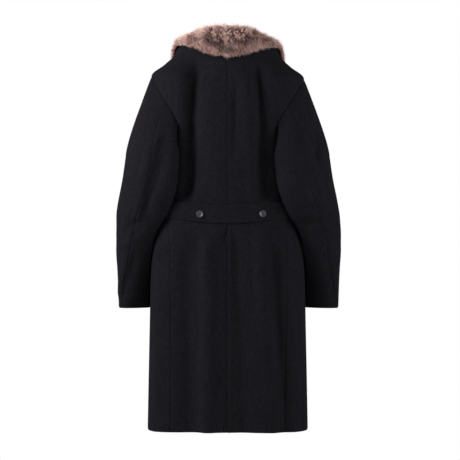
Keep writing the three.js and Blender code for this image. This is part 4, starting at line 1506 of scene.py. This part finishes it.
# ---- what lies on the panels
@dataclass
class LaidPieces:
    """The half belt, the lapels and the pocket flaps: cut to an outline and laid on the panels."""

    mesh_step: float = 3.0
    insets: tuple[float, ...] = (0.7, 1.0, 1.4)  # steps in from the outline, to round the edge off
    round_mm: float = 2.4  # radius of the turned edge
    edge_share: float = 0.35  # of the thickness that is left at the very edge
    stitch_in: float = 7.0  # from the edge to the row of stitching
    stitch_dip: float = 0.5
    stitch_half: float = 1.0
    belt_stations: int = 33
    flap_slant: float = 2.0
    roll_levels: tuple[float, ...] = (BREAK_LEVEL - 8, 300, 220, 140, 70, 20.0)
    covered_levels: tuple[float, float] = (296, 157)  # where the left front hides the right lapel's edge
    lapel_clear: float = 8.0
    lapel_edge: tuple[tuple[float, float], ...] = (
        (96, -70),
        (128, -94),
        (160, -84),
        (142, -132),
        (96, -200),
        (30, -282),
        (-52, -334),
    )
    lapel_cuts: ClassVar[dict[Side, Cut]] = {
        Side.LEFT: Cut((0.20, 0.30), "folded", ("body_front_left",), 0.032),
        Side.RIGHT: Cut((0.17, 0.21), "folded", ("body_front_right",), 0.0172),
    }

    @staticmethod
    def spaced(outline: Sequence[tuple[float, float]], step: float) -> Values:
        """The outline with points no further apart than a step.

        Args:
            outline: The corners.
            step: The largest distance.

        Returns:
            The points, in order.
        """
        points = []
        for a, b in zip(outline, [*outline[1:], outline[0]]):
            count = max(1, round(math.dist(a, b) / step))
            points += [np.add(a, np.subtract(b, a) * i / count) for i in range(count)]
        return np.array(points)

    @staticmethod
    def distance(points: Values, outline: Values) -> Values:
        """How far each point is from the outline.

        Args:
            points: The points.
            outline: The outline's own points.

        Returns:
            The distances.
        """
        nearest = np.full(len(points), 1e9)
        for a, b in zip(outline, np.roll(outline, -1, axis=0)):
            run = b - a
            share = np.clip(((points - a) @ run) / max(run @ run, 1e-9), 0, 1)
            nearest = np.minimum(nearest, np.linalg.norm(points - a - share[:, None] * run, axis=1))
        return nearest

    def lay(
        self,
        name: str,
        outline: Sequence[tuple[float, float]],
        face: Face,
        lift: Callable[[Values, Values], Values],
        thick: float,
    ) -> Object:
        """Lays a piece on a panel.

        Args:
            name: The piece's name.
            outline: Its outline, across and up, as seen from the back or the front.
            face: Where it lies.
            lift: How far the panel under it is moved off the body, by angle and level.
            thick: Its thickness.

        Returns:
            The closed piece.
        """
        rim = self.spaced(outline, self.mesh_step)
        work = bmesh.new()
        work.faces.new([work.verts.new((x, 0, z)) for x, z in rim])
        for inset in self.insets:
            inside = max(work.faces, key=lambda f: f.calc_area())
            bmesh.ops.inset_region(work, faces=[inside], thickness=inset)
        low, high = rim.min(axis=0), rim.max(axis=0)
        for axis in (0, 1):
            normal = (1, 0, 0) if axis == 0 else (0, 0, 1)
            for at in np.arange(low[axis] + self.mesh_step, high[axis], self.mesh_step):
                centre = (at, 0, 0) if axis == 0 else (0, 0, at)
                every = list(work.verts) + list(work.edges) + list(work.faces)
                bmesh.ops.bisect_plane(work, geom=every, plane_co=centre, plane_no=normal, dist=1e-5)
        bmesh.ops.triangulate(work, faces=[f for f in work.faces if len(f.verts) > 4])
        work.verts.index_update()
        flat = np.array([(v.co.x, v.co.z) for v in work.verts])
        faces = [[v.index for v in f.verts] for f in work.faces]
        border = [[v.index for v in e.verts] for e in work.edges if e.is_boundary]
        owners = [e.link_faces[0] for e in work.edges if e.is_boundary]
        ordered = [
            (a, b) if self.follows([v.index for v in f.verts], a, b) else (b, a)
            for (a, b), f in zip(border, owners)
        ]
        work.free()
        away = self.distance(flat, rim)
        angle, level = Body.place_at(flat[:, 0], flat[:, 1], face)
        base = CLOTH + LAYER_GAP + lift(angle, level)
        turned = np.clip(1 - away / self.round_mm, 0, 1)
        body = thick * (self.edge_share + (1 - self.edge_share) * np.sqrt(1 - turned**2))
        stitch = self.stitch_dip * np.exp(-(((away - self.stitch_in) / self.stitch_half) ** 2))
        upper = Body.out(angle, level, base + body - stitch)
        lower = Body.out(angle, level, base)
        count = len(flat)
        quads = [[b, a, a + count, b + count] for a, b in ordered]
        under = [[i + count for i in reversed(f)] for f in faces]
        piece = mesh_object(name, np.concatenate([upper, lower]), [*faces, *under, *quads])
        face_outwards(piece)
        return piece

    @staticmethod
    def follows(ring: list[int], a: int, b: int) -> bool:
        """Whether b comes straight after a round a face."""
        return ring[(ring.index(a) + 1) % len(ring)] == b

    def belt_outline(self) -> list[tuple[float, float]]:
        """The half belt as seen from the back.

        Returns:
            Its points, across and up.
        """
        across = np.linspace(-BELT_HALF_LENGTH, BELT_HALF_LENGTH, self.belt_stations)
        ends = (across / BELT_HALF_LENGTH) ** 2
        half = (BELT_HEIGHT + (BELT_END_HEIGHT - BELT_HEIGHT) * ends) / 2
        middle = LEVEL_TO_Z - BELT_LEVEL + BELT_END_RISE * ends
        lower, upper = np.stack([across, middle - half], axis=1), np.stack([across, middle + half], axis=1)
        return [*lower.tolist(), *upper[::-1].tolist()]

    def lapel_outline(self, side: Side) -> list[tuple[float, float]]:
        """A lapel as seen from the front: up the roll line, along the gorge to the peak and down its edge.

        Args:
            side: The wearer's left or right.

        Returns:
            Its points, across and up.
        """
        levels = np.array(self.roll_levels)
        line = [(float(a) + 1, float(b)) for a, b in zip(roll_x(levels), self.roll_z(levels))]
        if side is Side.LEFT:
            return [*line, *self.lapel_edge]
        covered = np.linspace(*self.covered_levels, 12)
        x, z = self.lapel_clear - roll_x(covered), self.roll_z(covered)
        start = [(float(a), float(b)) for a, b in zip(x, z)]
        return [(-a, b) for a, b in [*start, *line[3:], *self.lapel_edge[:5]]]

    @staticmethod
    def roll_z(levels: Values) -> Values:
        """The height of the roll line at the given levels."""
        return Body.form(Body.angle_at(roll_x(levels), levels, Face.FRONT), levels)[..., 2]

    def build(self, wardrobe: Wardrobe) -> None:
        """Builds and dresses the belt, the lapels and the flaps.

        Args:
            wardrobe: The finishes.
        """
        none = lambda angle, level: np.zeros_like(level)
        belt = self.lay("waist_half_belt", self.belt_outline(), Face.BACK, none, BELT_CLOTH)
        wardrobe.cloth(belt, "half_belt")
        outer = FLAP_INNER_X + FLAP_REACH
        flap = [
            (FLAP_INNER_X, FLAP_Z),
            (FLAP_INNER_X + self.flap_slant, FLAP_Z - FLAP_HEIGHT),
            (outer, FLAP_Z - FLAP_HEIGHT - FLAP_DROP),
            (outer, FLAP_Z - FLAP_DROP),
        ]
        for side in Side:
            lift = lambda angle, level, s=side: front_lift(s, angle, level)
            outline = [(side.value * x, z) for x, z in flap]
            piece = self.lay(f"hip_flap_{side.word}", outline, Face.FRONT, lift, FLAP_CLOTH)
            wardrobe.cloth(piece, f"pocket_flap_{side.word}")
            outline = self.lapel_outline(side)
            lapel = self.lay(f"chest_lapel_{side.word}", outline, Face.FRONT, lift, CLOTH)
            wardrobe.cloth(lapel, f"lapel_{side.word}")


# ---- collar
@dataclass(frozen=True)
class DarkPatch:
    """A place where the fur is darker, across and up as seen from behind or from the front."""

    face: Face
    centre: tuple[float, float]
    reach: tuple[float, float]
    strength: float


@dataclass
class Collar:
    """The under collar, and the fur collar: its skin, its underfur and four pelts of guard hair."""

    stations: int = 170
    pelt_seam: float = 66.0  # degrees from the centre back to where two pelts meet
    first_seed: int = 11
    hairs: int = 12600  # in each of the four pelts
    locks: int = 2400  # small bunches of hairs that cling together
    cling: tuple[float, float] = (0.45, 0.85)  # how far a hair is pulled to its lock
    stray_share: float = 0.05  # of the hairs that stand free of their lock
    stray_cling: float = 0.15
    stray_length: float = 1.2
    length_range: tuple[float, float] = (0.55, 1.0)
    rise_range: tuple[float, float] = (0.72, 1.16)  # shares of the pile's depth
    lay_range: tuple[float, float] = (0.5, 1.2)
    swirl: float = 0.3
    side_spread: float = 0.28
    curl: float = 1.7  # power of a hair's bend from its rise to its sweep
    wave_mm: float = 0.9
    cloud_tone: float = 0.28
    painted_top_highlight: float = 0.65  # how much lighter the hair is painted on top of the roll, as a painted highlight
    # heights between which that painted highlight comes in
    top_z: tuple[float, float] = (18.0, 40.0)
    lock_tone: float = 0.42  # spread of the tone from lock to lock
    hair_tone: float = 0.16  # and from hair to hair
    ring_at: tuple[float, ...] = (0.0, 0.4, 0.75)  # a hair's three rings, before its tip
    ring_radius: tuple[float, ...] = (0.46, 0.4, 0.22)
    patches: tuple[DarkPatch, ...] = (
        DarkPatch(Face.BACK, (53, 20), (9, 12), 1.5),
        DarkPatch(Face.BACK, (50, 20), (3.5, 4), -1.0),
        DarkPatch(Face.BACK, (40, 8), (9, 6), 0.8),
        DarkPatch(Face.BACK, (20, 3), (18, 9), 1.15),
        DarkPatch(Face.BACK, (-2, -11), (24, 8), 0.95),
        DarkPatch(Face.BACK, (-18, 14), (6, 9), 0.6),
        DarkPatch(Face.BACK, (-40, 8), (16, 5), 1.2),
        DarkPatch(Face.BACK, (-60, 20), (13, 6), 1.25),
        DarkPatch(Face.BACK, (-74, 34), (7, 8), 1.1),
        DarkPatch(Face.BACK, (-100, 18), (13, 4), 1.0),
        DarkPatch(Face.BACK, (-122, 8), (10, 4), 0.7),
        DarkPatch(Face.BACK, (84, 22), (12, 3.5), 0.5),
        DarkPatch(Face.BACK, (104, 12), (12, 3.5), 0.4),
        DarkPatch(Face.FRONT, (96, -12), (18, 14), 0.8),
        DarkPatch(Face.FRONT, (-104, -20), (20, 12), 0.8),
        DarkPatch(Face.FRONT, (70, -62), (14, 18), 0.6),
        DarkPatch(Face.FRONT, (-74, -50), (14, 16), 0.6),
    )

    @staticmethod
    def skin(angle: Values, along: Values) -> Points:
        """The collar's skin: up the stand from the neck seam, over the fold and down to its edge.

        Args:
            angle: Angles round the neck, in radians.
            along: Places over the fold, from 0 at the neck seam to 1 at the edge.

        Returns:
            The points.
        """
        angle, along = np.broadcast_arrays(np.asarray(angle, float), np.asarray(along, float))
        degrees = np.degrees(np.abs(angle))
        stand, lean, edge_level, _ = (c[..., None] for c in COLLAR_SECTIONS.at(degrees))
        off = np.full_like(angle, CLOTH + COLLAR_OFF_NECK)
        seam = Body.form_out(angle, np.zeros_like(angle), off)
        outward, up = stack(np.sin(angle), np.cos(angle), 0 * angle), np.array([0, 0, 1.0])
        fold = seam + outward * lean + up * stand
        over_lapel = (CLOTH + LAYER_GAP) * smooth(*ON_LAPEL, degrees)
        rest = CLOTH + LAYER_GAP + UNDER_COLLAR_CLOTH + COLLAR_OFF_BODY + over_lapel
        edge = Body.form_out(angle, edge_level[..., 0], rest)
        reach = np.linalg.norm(fold - edge, axis=-1, keepdims=True)
        rising = (seam - outward * UNDER_COLLAR_CLOTH, seam - outward * 3 + up * stand * 0.75, fold)
        falling = (fold, fold + outward * reach * 0.5 + up * 3, edge)

        def curve(points: tuple[Points, Points, Points], t: Points) -> Points:
            """A quadratic curve through its three control points."""
            return points[0] * (1 - t) ** 2 + points[1] * 2 * t * (1 - t) + points[2] * t * t

        first = np.clip(along / COLLAR_FOLD_AT, 0, 1)[..., None]
        second = np.clip((along - COLLAR_FOLD_AT) / (1 - COLLAR_FOLD_AT), 0, 1)[..., None]
        return np.where(along[..., None] < COLLAR_FOLD_AT, curve(rising, first), curve(falling, second))

    @classmethod
    def ways(cls, angle: Values, along: Values) -> tuple[Points, Points, Points]:
        """The skin's outward normal, and the directions round the neck and over the fold.

        Args:
            angle: Angles round the neck, in radians.
            along: Places over the fold, from 0 at the neck seam to 1 at the edge.

        Returns:
            Unit vectors, in that order.
        """
        turn, step = 0.01, 0.02
        round_ = cls.skin(angle + turn, along) - cls.skin(angle - turn, along)
        over = cls.skin(angle, np.minimum(1, along + step)) - cls.skin(angle, np.maximum(0, along - step))
        return unit(np.cross(round_, over)), unit(round_), unit(over)

    @classmethod
    def out(cls, angle: Values, along: Values, out: Values) -> Points:
        """Points moved out from the skin."""
        return cls.skin(angle, along) + cls.ways(angle, along)[0] * np.asarray(out)[..., None]

    @staticmethod
    def pile(angle: Values, along: Values) -> Values:
        """The depth of the pile: thin inside the neck, deepest over the fold, thinner at the edge.

        Args:
            angle: Angles round the neck, in radians.
            along: Places over the fold, from 0 at the neck seam to 1 at the edge.

        Returns:
            Millimetres.
        """
        depth = COLLAR_SECTIONS.at(np.degrees(np.abs(angle)))[3]
        inside = 0.35 + 0.65 * smooth(0.05, 0.45, along)
        return depth * inside * (1 - 0.38 * smooth(0.75, 1, along))

    def grid(self, last: float) -> tuple[Values, Values]:
        """A grid of angles and of places over the fold, close together at its edges.

        Args:
            last: Where it ends over the fold.

        Returns:
            The angles and the places.
        """
        end = math.radians(COLLAR_END_ANGLE)
        middle = np.linspace(0.03, last - 0.02, 40)
        along = np.concatenate([[0, 0.006, 0.014], middle, [last - 0.008, last]])
        return np.meshgrid(np.linspace(-end, end, self.stations), along, indexing="ij")

    def under_collar(self) -> Object:
        """Builds the melton under collar."""
        angle, along = self.grid(UNDER_COLLAR_END)
        return wall(
            "neck_under_collar",
            self.out(angle, along, np.full_like(angle, -UNDER_COLLAR_BELOW)),
            self.out(angle, along, np.full_like(angle, -UNDER_COLLAR_CLOTH)),
        )

    def underfur(self) -> Object:
        """Builds the dense underfur, uneven and rounded at its edges.

        Returns:
            The shell.
        """
        angle, along = self.grid(1.0)
        degrees = np.degrees(np.abs(angle))
        ends = np.sqrt(smooth(COLLAR_END_ANGLE + 0.5, COLLAR_END_ANGLE - 8, degrees))
        edges = np.sqrt(smooth(1.005, 0.9, along) * smooth(-0.005, 0.08, along))
        tufts = 1 + 0.16 * np.sin(angle * 61 + 3 * along) * np.sin(along * 47 + 5 * np.sin(angle * 23))
        depth = 0.5 + 0.56 * self.pile(angle, along) * ends * edges * tufts
        pelt = self.out(angle, along, np.full_like(depth, PELT_ABOVE))
        return wall("neck_fur_underwool", self.out(angle, along, depth), pelt)

    def tone(self, points: Points) -> Values:
        """How light the fur is at given places, painted lighter on top of the roll as a painted highlight:
        1 is its usual colour and 0 its darkest.

        Args:
            points: The places.

        Returns:
            The tones, which may go past 0 and 1.
        """
        x, y, z = np.moveaxis(points, -1, 0)
        cloud = 0.5 + 0.5 * np.sin(x / 17 + 1.4 * np.sin(z / 13 + y / 31)) * np.sin(y / 21 + z / 15 + 1)
        # The hair on top of the roll is painted lighter here: a painted highlight.
        light = 1 - self.cloud_tone * cloud + self.painted_top_highlight * smooth(*self.top_z, z)
        for patch in self.patches:
            across = (x - patch.centre[0]) / patch.reach[0]
            up = (z - patch.centre[1]) / patch.reach[1]
            here = np.exp(-(across**2) - up**2) * (np.sign(y) == patch.face.value)
            light = light - patch.strength * here
        return light

    def strands(self, name: str, low: float, high: float, seed: int) -> Object:
        """Grows one pelt of guard hair, gathered in locks.

        Args:
            name: The piece's name.
            low: Where it starts round the neck, in degrees.
            high: Where it ends.
            seed: Seed of its random draws.

        Returns:
            All its hairs as one mesh, with their tone and the place along each hair as attributes.
        """
        rng = np.random.default_rng(seed)
        angle, along = self.scatter(rng, low, high, self.hairs)
        lock_angle, lock_along = self.scatter(rng, low, high, self.locks)
        root, lead = self.skin(angle, along), self.skin(lock_angle, lock_along)
        tree = KDTree(self.locks)
        for index, place in enumerate(lead):
            tree.insert(place, index)
        tree.balance()
        nearest = np.array([tree.find(place)[1] for place in root])
        height, sweep = self.growth(rng, angle, along)
        lock_height, lock_sweep = self.growth(rng, lock_angle, lock_along)
        pull = rng.uniform(*self.cling, self.locks)[nearest, None]
        length = rng.uniform(*self.length_range, (self.hairs, 1)) ** 0.7
        stray = rng.random((self.hairs, 1)) < self.stray_share
        pull, length = np.where(stray, self.stray_cling, pull), np.where(stray, self.stray_length, length)
        lock_tip = (lead + lock_height + lock_sweep)[nearest] - root
        tip = (height + sweep) * (1 - pull) + lock_tip * pull
        rise = height * (1 - pull) + lock_height[nearest] * pull
        wave = rng.normal(0, self.wave_mm, (self.hairs, 3))
        rings = []
        for t in (*self.ring_at, 1.0):
            bend = rise * (1 - (1 - t) ** self.curl) + (tip - rise) * t**self.curl
            rings.append(root + length * bend + wave * math.sin(math.pi * t))
        points, faces = self.tapered(rng, np.stack(rings, axis=1))
        piece = mesh_object(name, points.reshape(-1, 3), faces)
        lock_tone = rng.normal(0, self.lock_tone, self.locks)[nearest]
        tone = self.tone(root + tip * 0.6) + lock_tone + rng.normal(0, self.hair_tone, self.hairs)
        per_hair = points.shape[1]
        # Tone past 1 makes a hair pale: the painted highlight on top of the roll does this, and so does
        # chance.
        values = {
            "hair_tone": np.repeat(np.clip(tone, 0, 1), per_hair),
            "hair_pale": np.repeat(np.clip(tone - 1, 0, 1), per_hair),
            "hair_along": np.tile([*np.repeat(self.ring_at, 3), 1.0], self.hairs),
        }
        for key, value in values.items():
            attribute = piece.data.attributes.new(key, "FLOAT", "POINT")
            attribute.data.foreach_set("value", value.astype(np.float32))
        return piece

    def tapered(self, rng: np.random.Generator, line: Points) -> tuple[Points, list[list[int]]]:
        """Gives each hair a body: three rings of three points and a tip.

        Args:
            rng: Random draws.
            line: The middle of every hair at its rings and its tip.

        Returns:
            Every hair's points, and the faces.
        """
        tangent = unit(line[:, -1] - line[:, 0])
        first = unit(np.cross(tangent, rng.normal(0, 1, (self.hairs, 3))))
        second = np.cross(tangent, first)
        thick = rng.uniform(0.7, 1.15, (self.hairs, 1))
        points = []
        for k, radius in enumerate(self.ring_radius):
            for corner in range(3):
                way = 2 * math.pi * corner / 3
                offset = (first * math.cos(way) + second * math.sin(way)) * radius
                points.append(line[:, k] + offset * thick)
        points.append(line[:, -1])
        base = np.arange(self.hairs)[:, None, None] * len(points)
        pairs = [(k * 3 + c, k * 3 + (c + 1) % 3) for k in range(2) for c in range(3)]
        quads = (base + np.array([(a, b, b + 3, a + 3) for a, b in pairs])).reshape(-1, 4)
        ends = (base + np.array([(6 + c, 6 + (c + 1) % 3, 9) for c in range(3)])).reshape(-1, 3)
        return np.stack(points, axis=1), [*quads.tolist(), *ends.tolist()]

    def scatter(
        self, rng: np.random.Generator, low: float, high: float, count: int
    ) -> tuple[Values, Values]:
        """Places spread evenly over the skin between two angles.

        Args:
            rng: Random draws.
            low: The first angle, in degrees.
            high: The last.
            count: How many.

        Returns:
            Their angles and their places over the fold.
        """
        angle = np.radians(rng.uniform(low, high, count * 4))
        along = rng.uniform(0.04, 1.0, count * 4)
        round_ = self.skin(angle + 0.01, along) - self.skin(angle - 0.01, along)
        over = self.skin(angle, along + 0.01) - self.skin(angle, along - 0.01)
        area = np.linalg.norm(np.cross(round_, over), axis=-1)
        kept = rng.choice(count * 4, count, replace=False, p=area / area.sum())
        return angle[kept], along[kept]

    def growth(
        self, rng: np.random.Generator, angle: Values, along: Values
    ) -> tuple[Points, Points]:
        """How far each hair rises off the skin, and how it sweeps over it.

        Args:
            rng: Random draws.
            angle: The hairs' angles.
            along: Their places over the fold.

        Returns:
            The rise and the sweep, as vectors.
        """
        normal, round_, over = self.ways(angle, along)
        depth = self.pile(angle, along)
        count = len(angle)
        rise = depth * rng.uniform(*self.rise_range, count)
        swirl = np.sin(angle * 9 + 4 * along) + 0.8 * np.sin(angle * 23 + 2)
        lay = depth * (0.25 + 0.65 * smooth(0.3, 0.8, along)) * rng.uniform(*self.lay_range, count)
        side = depth * (self.swirl * swirl + rng.normal(0, self.side_spread, count))
        return normal * rise[:, None], over * lay[:, None] + round_ * side[:, None]

    def build(self, wardrobe: Wardrobe) -> None:
        """Builds and dresses the collar.

        Args:
            wardrobe: The finishes.
        """
        wardrobe.cloth(self.under_collar(), "under_collar")
        base = self.underfur()
        wardrobe.dress(base, wardrobe.underfur, ["fur_collar"])
        names = ("right_front", "right_back", "left_back", "left_front")
        bounds = (-COLLAR_END_ANGLE, -self.pelt_seam, 0, self.pelt_seam, COLLAR_END_ANGLE)
        for k, name in enumerate(names):
            pelt = self.strands(f"neck_fur_hair_{name}", bounds[k], bounds[k + 1], self.first_seed + k)
            wardrobe.dress(pelt, wardrobe.hair, ["fur_collar"])


# ---- buttons
@dataclass
class Buttons:
    """Four-hole buttons: two on the half belt, and four on each side of the double-breasted front."""

    sides: int = 56
    hole_at: float = 0.26  # shares of the radius
    hole_radius: float = 0.1
    foot: float = 0.82
    # From the cylinder's top: each step in, as a share of the radius, and up, as a share of the height.
    steps: tuple[tuple[float, float], ...] = (
        (0.13, 0.3),
        (0.07, 0.0),
        (0.26, -0.3),
        (0.2, -0.09),
        (0.14, -0.03),
    )
    turns: tuple[float, ...] = (7.0, -9.0, 4.0, -5.0, 12.0, -3.0, 8.0, -11.0)  # degrees, as sewn on

    def template(
        self, name: str, diameter: float, height: float, wardrobe: Wardrobe
    ) -> Object:
        """Models one button at the origin, facing up, with its two stitches of thread.

        Args:
            name: The object's name.
            diameter: Its diameter, in millimetres.
            height: Its height, in millimetres.
            wardrobe: The finishes.

        Returns:
            The button.
        """
        radius, high = diameter / 2 * MM, height * MM
        bpy.ops.object.select_all(action="DESELECT")
        bpy.ops.mesh.primitive_cylinder_add(
            vertices=self.sides, radius=radius, depth=high * 0.7, location=(0, 0, high * 0.35)
        )
        button = bpy.context.object
        button.name = name
        bpy.ops.object.transform_apply(location=True)
        bpy.ops.object.mode_set(mode="EDIT")
        bpy.ops.mesh.select_mode(type="FACE")
        self.select_face(button, bottom=True)
        bpy.ops.transform.resize(value=(self.foot, self.foot, 1))
        self.select_face(button, bottom=False)
        for inset, rise in self.steps:
            bpy.ops.mesh.inset(thickness=inset * radius)
            bpy.ops.transform.translate(value=(0, 0, rise * high))
        bpy.ops.object.mode_set(mode="OBJECT")
        bevel = {"width": 0.05 * radius, "segments": 3, "limit_method": "ANGLE", "angle_limit": 0.4}
        self.finish_with(button, "BEVEL", **bevel)
        holes = []
        for way in range(4):
            angle = math.pi / 4 + way * math.pi / 2
            place = (math.cos(angle) * self.hole_at * radius, math.sin(angle) * self.hole_at * radius, 0)
            bpy.ops.object.select_all(action="DESELECT")
            bpy.ops.mesh.primitive_cylinder_add(
                vertices=16, radius=self.hole_radius * radius, depth=high * 4, location=place
            )
            holes.append(bpy.context.object)
        for hole in holes:
            self.finish_with(button, "BOOLEAN", operation="DIFFERENCE", object=hole, solver="EXACT")
            bpy.data.objects.remove(hole)
        button.data.materials.clear()
        button.data.materials.append(wardrobe.horn)
        self.sew(button, radius, high, wardrobe)
        self.select_only(button)
        bpy.ops.object.shade_smooth_by_angle(angle=math.radians(35))
        return button

    def sew(self, button: Object, radius: float, high: float, wardrobe: Wardrobe) -> None:
        """Adds the two stitches of thread and joins them to the button.

        Args:
            button: The button.
            radius: Its radius, in metres.
            high: Its height, in metres.
            wardrobe: The finishes.
        """
        reach = self.hole_at * radius * math.sqrt(0.5)
        stitches = []
        for across in (-reach, reach):
            bpy.ops.object.select_all(action="DESELECT")
            bpy.ops.mesh.primitive_torus_add(
                major_segments=28,
                minor_segments=10,
                major_radius=reach,
                minor_radius=self.hole_radius * radius * 0.62,
                location=(0, across, high * 0.52),
                rotation=(math.pi / 2, 0, 0),
            )
            bpy.context.object.data.materials.append(wardrobe.thread)
            stitches.append(bpy.context.object)
        self.select_only(button, *stitches)
        bpy.ops.object.join()

    @staticmethod
    def select_only(active: Object, *others: Object) -> None:
        """Selects these objects alone and makes the first one active.

        Args:
            active: The object to work on.
            *others: Objects that are selected with it.
        """
        bpy.ops.object.select_all(action="DESELECT")
        for piece in (*others, active):
            piece.select_set(True)
        bpy.context.view_layer.objects.active = active

    @staticmethod
    def select_face(piece: Object, bottom: bool) -> None:
        """Selects the large face at a disc's bottom or top, in edit mode.

        Args:
            piece: The disc.
            bottom: The bottom one, or else the top one.
        """
        work = bmesh.from_edit_mesh(piece.data)
        wanted = min if bottom else max
        faces = [f for f in work.faces if len(f.verts) > 8]
        chosen = wanted(faces, key=lambda f: f.calc_center_median().z)
        bpy.ops.mesh.select_all(action="DESELECT")
        chosen.select_set(True)
        bmesh.update_edit_mesh(piece.data)

    @staticmethod
    def finish_with(piece: Object, kind: str, **settings: object) -> None:
        """Adds a modifier with its settings and applies it.

        Args:
            piece: The piece.
            kind: The modifier's type.
            **settings: Its settings.
        """
        modifier = piece.modifiers.new(kind.lower(), kind)
        for key, value in settings.items():
            setattr(modifier, key, value)
        Buttons.select_only(piece)
        bpy.ops.object.modifier_apply(modifier=modifier.name)

    @staticmethod
    def seat(node: str, turned: float) -> Matrix:
        """Where a button sits: on the place of its solid, facing as it does.

        Args:
            node: The CAD node.
            turned: How far it is turned about its own axis, in degrees.

        Returns:
            The matrix that takes the template there.
        """
        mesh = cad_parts[node].data
        flat = np.zeros(len(mesh.vertices) * 3)
        mesh.vertices.foreach_get("co", flat)
        points = np.unique(flat.reshape(-1, 3).round(7), axis=0)
        middle = (points.min(axis=0) + points.max(axis=0)) / 2
        centred = points - points.mean(axis=0)
        axis = np.linalg.eigh(centred.T @ centred)[1][:, 0]
        if axis[:2] @ middle[:2] < 0:
            axis = -axis
        foot = (centred @ axis).min()
        place = Vector(points.mean(axis=0) + axis * foot)
        up = Vector(axis)
        across = Vector((0, 0, 1)).cross(up).normalized()
        turn = Matrix((across, up.cross(across), up)).transposed().to_4x4()
        return Matrix.Translation(place) @ turn @ Matrix.Rotation(math.radians(turned), 4, "Z")

    def build(self, wardrobe: Wardrobe) -> None:
        """Copies each kind of button to its places.

        Args:
            wardrobe: The finishes.
        """
        waist = [(side.word, f"belt_button_{side.word}") for side in Side]
        breast = [(f"{s.word}_{n}", f"front_button_{s.word}_{n}") for s in Side for n in range(1, 5)]
        kinds = {"waist": (20.0, 4.0, waist), "breast": (28.0, 5.0, breast)}  # diameter, height, places
        for kind, (diameter, height, places) in kinds.items():
            model = self.template(f"{kind}_button", diameter, height, wardrobe)
            for (word, node), turned in zip(places, self.turns):
                copy = bpy.data.objects.new(f"{kind}_button_{word}", model.data.copy())
                bpy.context.scene.collection.objects.link(copy)
                copy.data.transform(self.seat(node, turned))
                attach(copy, "root")
                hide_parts(node)
                log.info("%s: %d faces", copy.name, len(copy.data.polygons))
            bpy.data.objects.remove(model)


# ---- camera, light and floor
@dataclass(frozen=True)
class Lamp:
    """A soft box: its place, the point that it faces, its power and the length of its side, in metres."""

    name: str
    place: tuple[float, float, float]
    aim: tuple[float, float, float]
    watts: float
    size: float


@dataclass(frozen=True)
class Studio:
    """The camera square to the coat's back, three soft boxes, and a white floor."""

    camera_place: tuple[float, float, float] = (-0.0064, 5.0, -0.504)
    lens_mm: float = 139.75
    sensor_mm: float = 36.0
    floor_z: float = -1.45  # where the wearer's feet would stand
    floor_radius: float = 2.3
    lamps: tuple[Lamp, ...] = (
        Lamp("key", (2.02, 0.92, 0.42), (0, 0, 0.9), 84.0, 1.1),
        Lamp("fill", (-2.16, 1.02, 0.25), (0, 0, 0.7), 43.0, 1.4),
        Lamp("front", (1.5, -2.1, 0.95), (0, 0, -0.3), 60.0, 1.4),
    )
    # From straight down to straight up: a white band at eye level, dimmer above and below it.
    surroundings: Stops = (
        (0.0, "6a6a6a"),
        (0.3, "868686"),
        (0.43, "ffffff"),
        (0.57, "ffffff"),
        (0.62, "666666"),
        (1.0, "666666"),
    )

    def build(self) -> None:
        """Sets up the scene round the coat."""
        camera = bpy.data.objects.new("camera", bpy.data.cameras.new("camera"))
        bpy.context.scene.collection.objects.link(camera)
        camera.data.sensor_width = self.sensor_mm
        camera.data.lens = self.lens_mm
        camera.location = self.camera_place
        camera.rotation_euler = (math.pi / 2, 0, math.pi)
        bpy.context.scene.camera = camera
        for lamp in self.lamps:
            self.light(lamp)
        self.sky()
        self.floor()
        bpy.context.scene.view_settings.view_transform = "Standard"

    @staticmethod
    def light(lamp: Lamp) -> None:
        """Hangs a soft box.

        Args:
            lamp: The soft box.
        """
        light = bpy.data.lights.new(lamp.name, "AREA")
        light.energy, light.size = lamp.watts, lamp.size
        box = bpy.data.objects.new(lamp.name, light)
        bpy.context.scene.collection.objects.link(box)
        box.location = lamp.place
        towards = Vector(lamp.place) - Vector(lamp.aim)
        box.rotation_euler = towards.to_track_quat("Z", "Y").to_euler()
        box.visible_camera = False

    def sky(self) -> None:
        """Sets the surroundings, by the height that a ray goes off to."""
        world = bpy.data.worlds.new("studio")
        world.use_nodes = True
        bpy.context.scene.world = world
        tree = world.node_tree
        tree.nodes.clear()
        way = add_node(tree, "ShaderNodeTexCoord", {}, {}).outputs["Generated"]
        height = add_node(tree, "ShaderNodeSeparateXYZ", {}, {"Vector": way}).outputs["Z"]
        level = add_node(
            tree, "ShaderNodeMapRange", {"=From Min": -1.0, "=From Max": 1.0}, {"Value": height}
        ).outputs["Result"]
        colour = add_node(tree, "ShaderNodeValToRGB", {"stops": self.surroundings}, {"Fac": level})
        light = colour.outputs["Color"]
        shade = add_node(tree, "ShaderNodeBackground", {"=Strength": 1.0}, {"Color": light})
        add_node(tree, "ShaderNodeOutputWorld", {}, {"Surface": shade.outputs["Background"]})

    def floor(self) -> None:
        """Lays a round floor of white paper."""
        bpy.ops.object.select_all(action="DESELECT")
        bpy.ops.mesh.primitive_circle_add(vertices=96, radius=self.floor_radius, fill_type="NGON")
        floor = bpy.context.object
        floor.name = "floor"
        floor.data.transform(Matrix.Translation((0, 0, self.floor_z)))
        floor.data.materials.append(StudioFloor().make())


def main() -> None:
    """Builds the coat piece by piece, then its camera, light and floor."""
    logging.basicConfig(level=logging.INFO, format="%(name)s: %(message)s")
    wardrobe = Wardrobe(
        Melton().make(), FurHair().make(), Underfur().make(), HornResin().make(), Thread().make()
    )
    Panels().build(wardrobe)
    Sleeves().build(wardrobe)
    LaidPieces().build(wardrobe)
    Collar().build(wardrobe)
    Buttons().build(wardrobe)
    Studio().build()


if __name__ == "__main__":
    main()
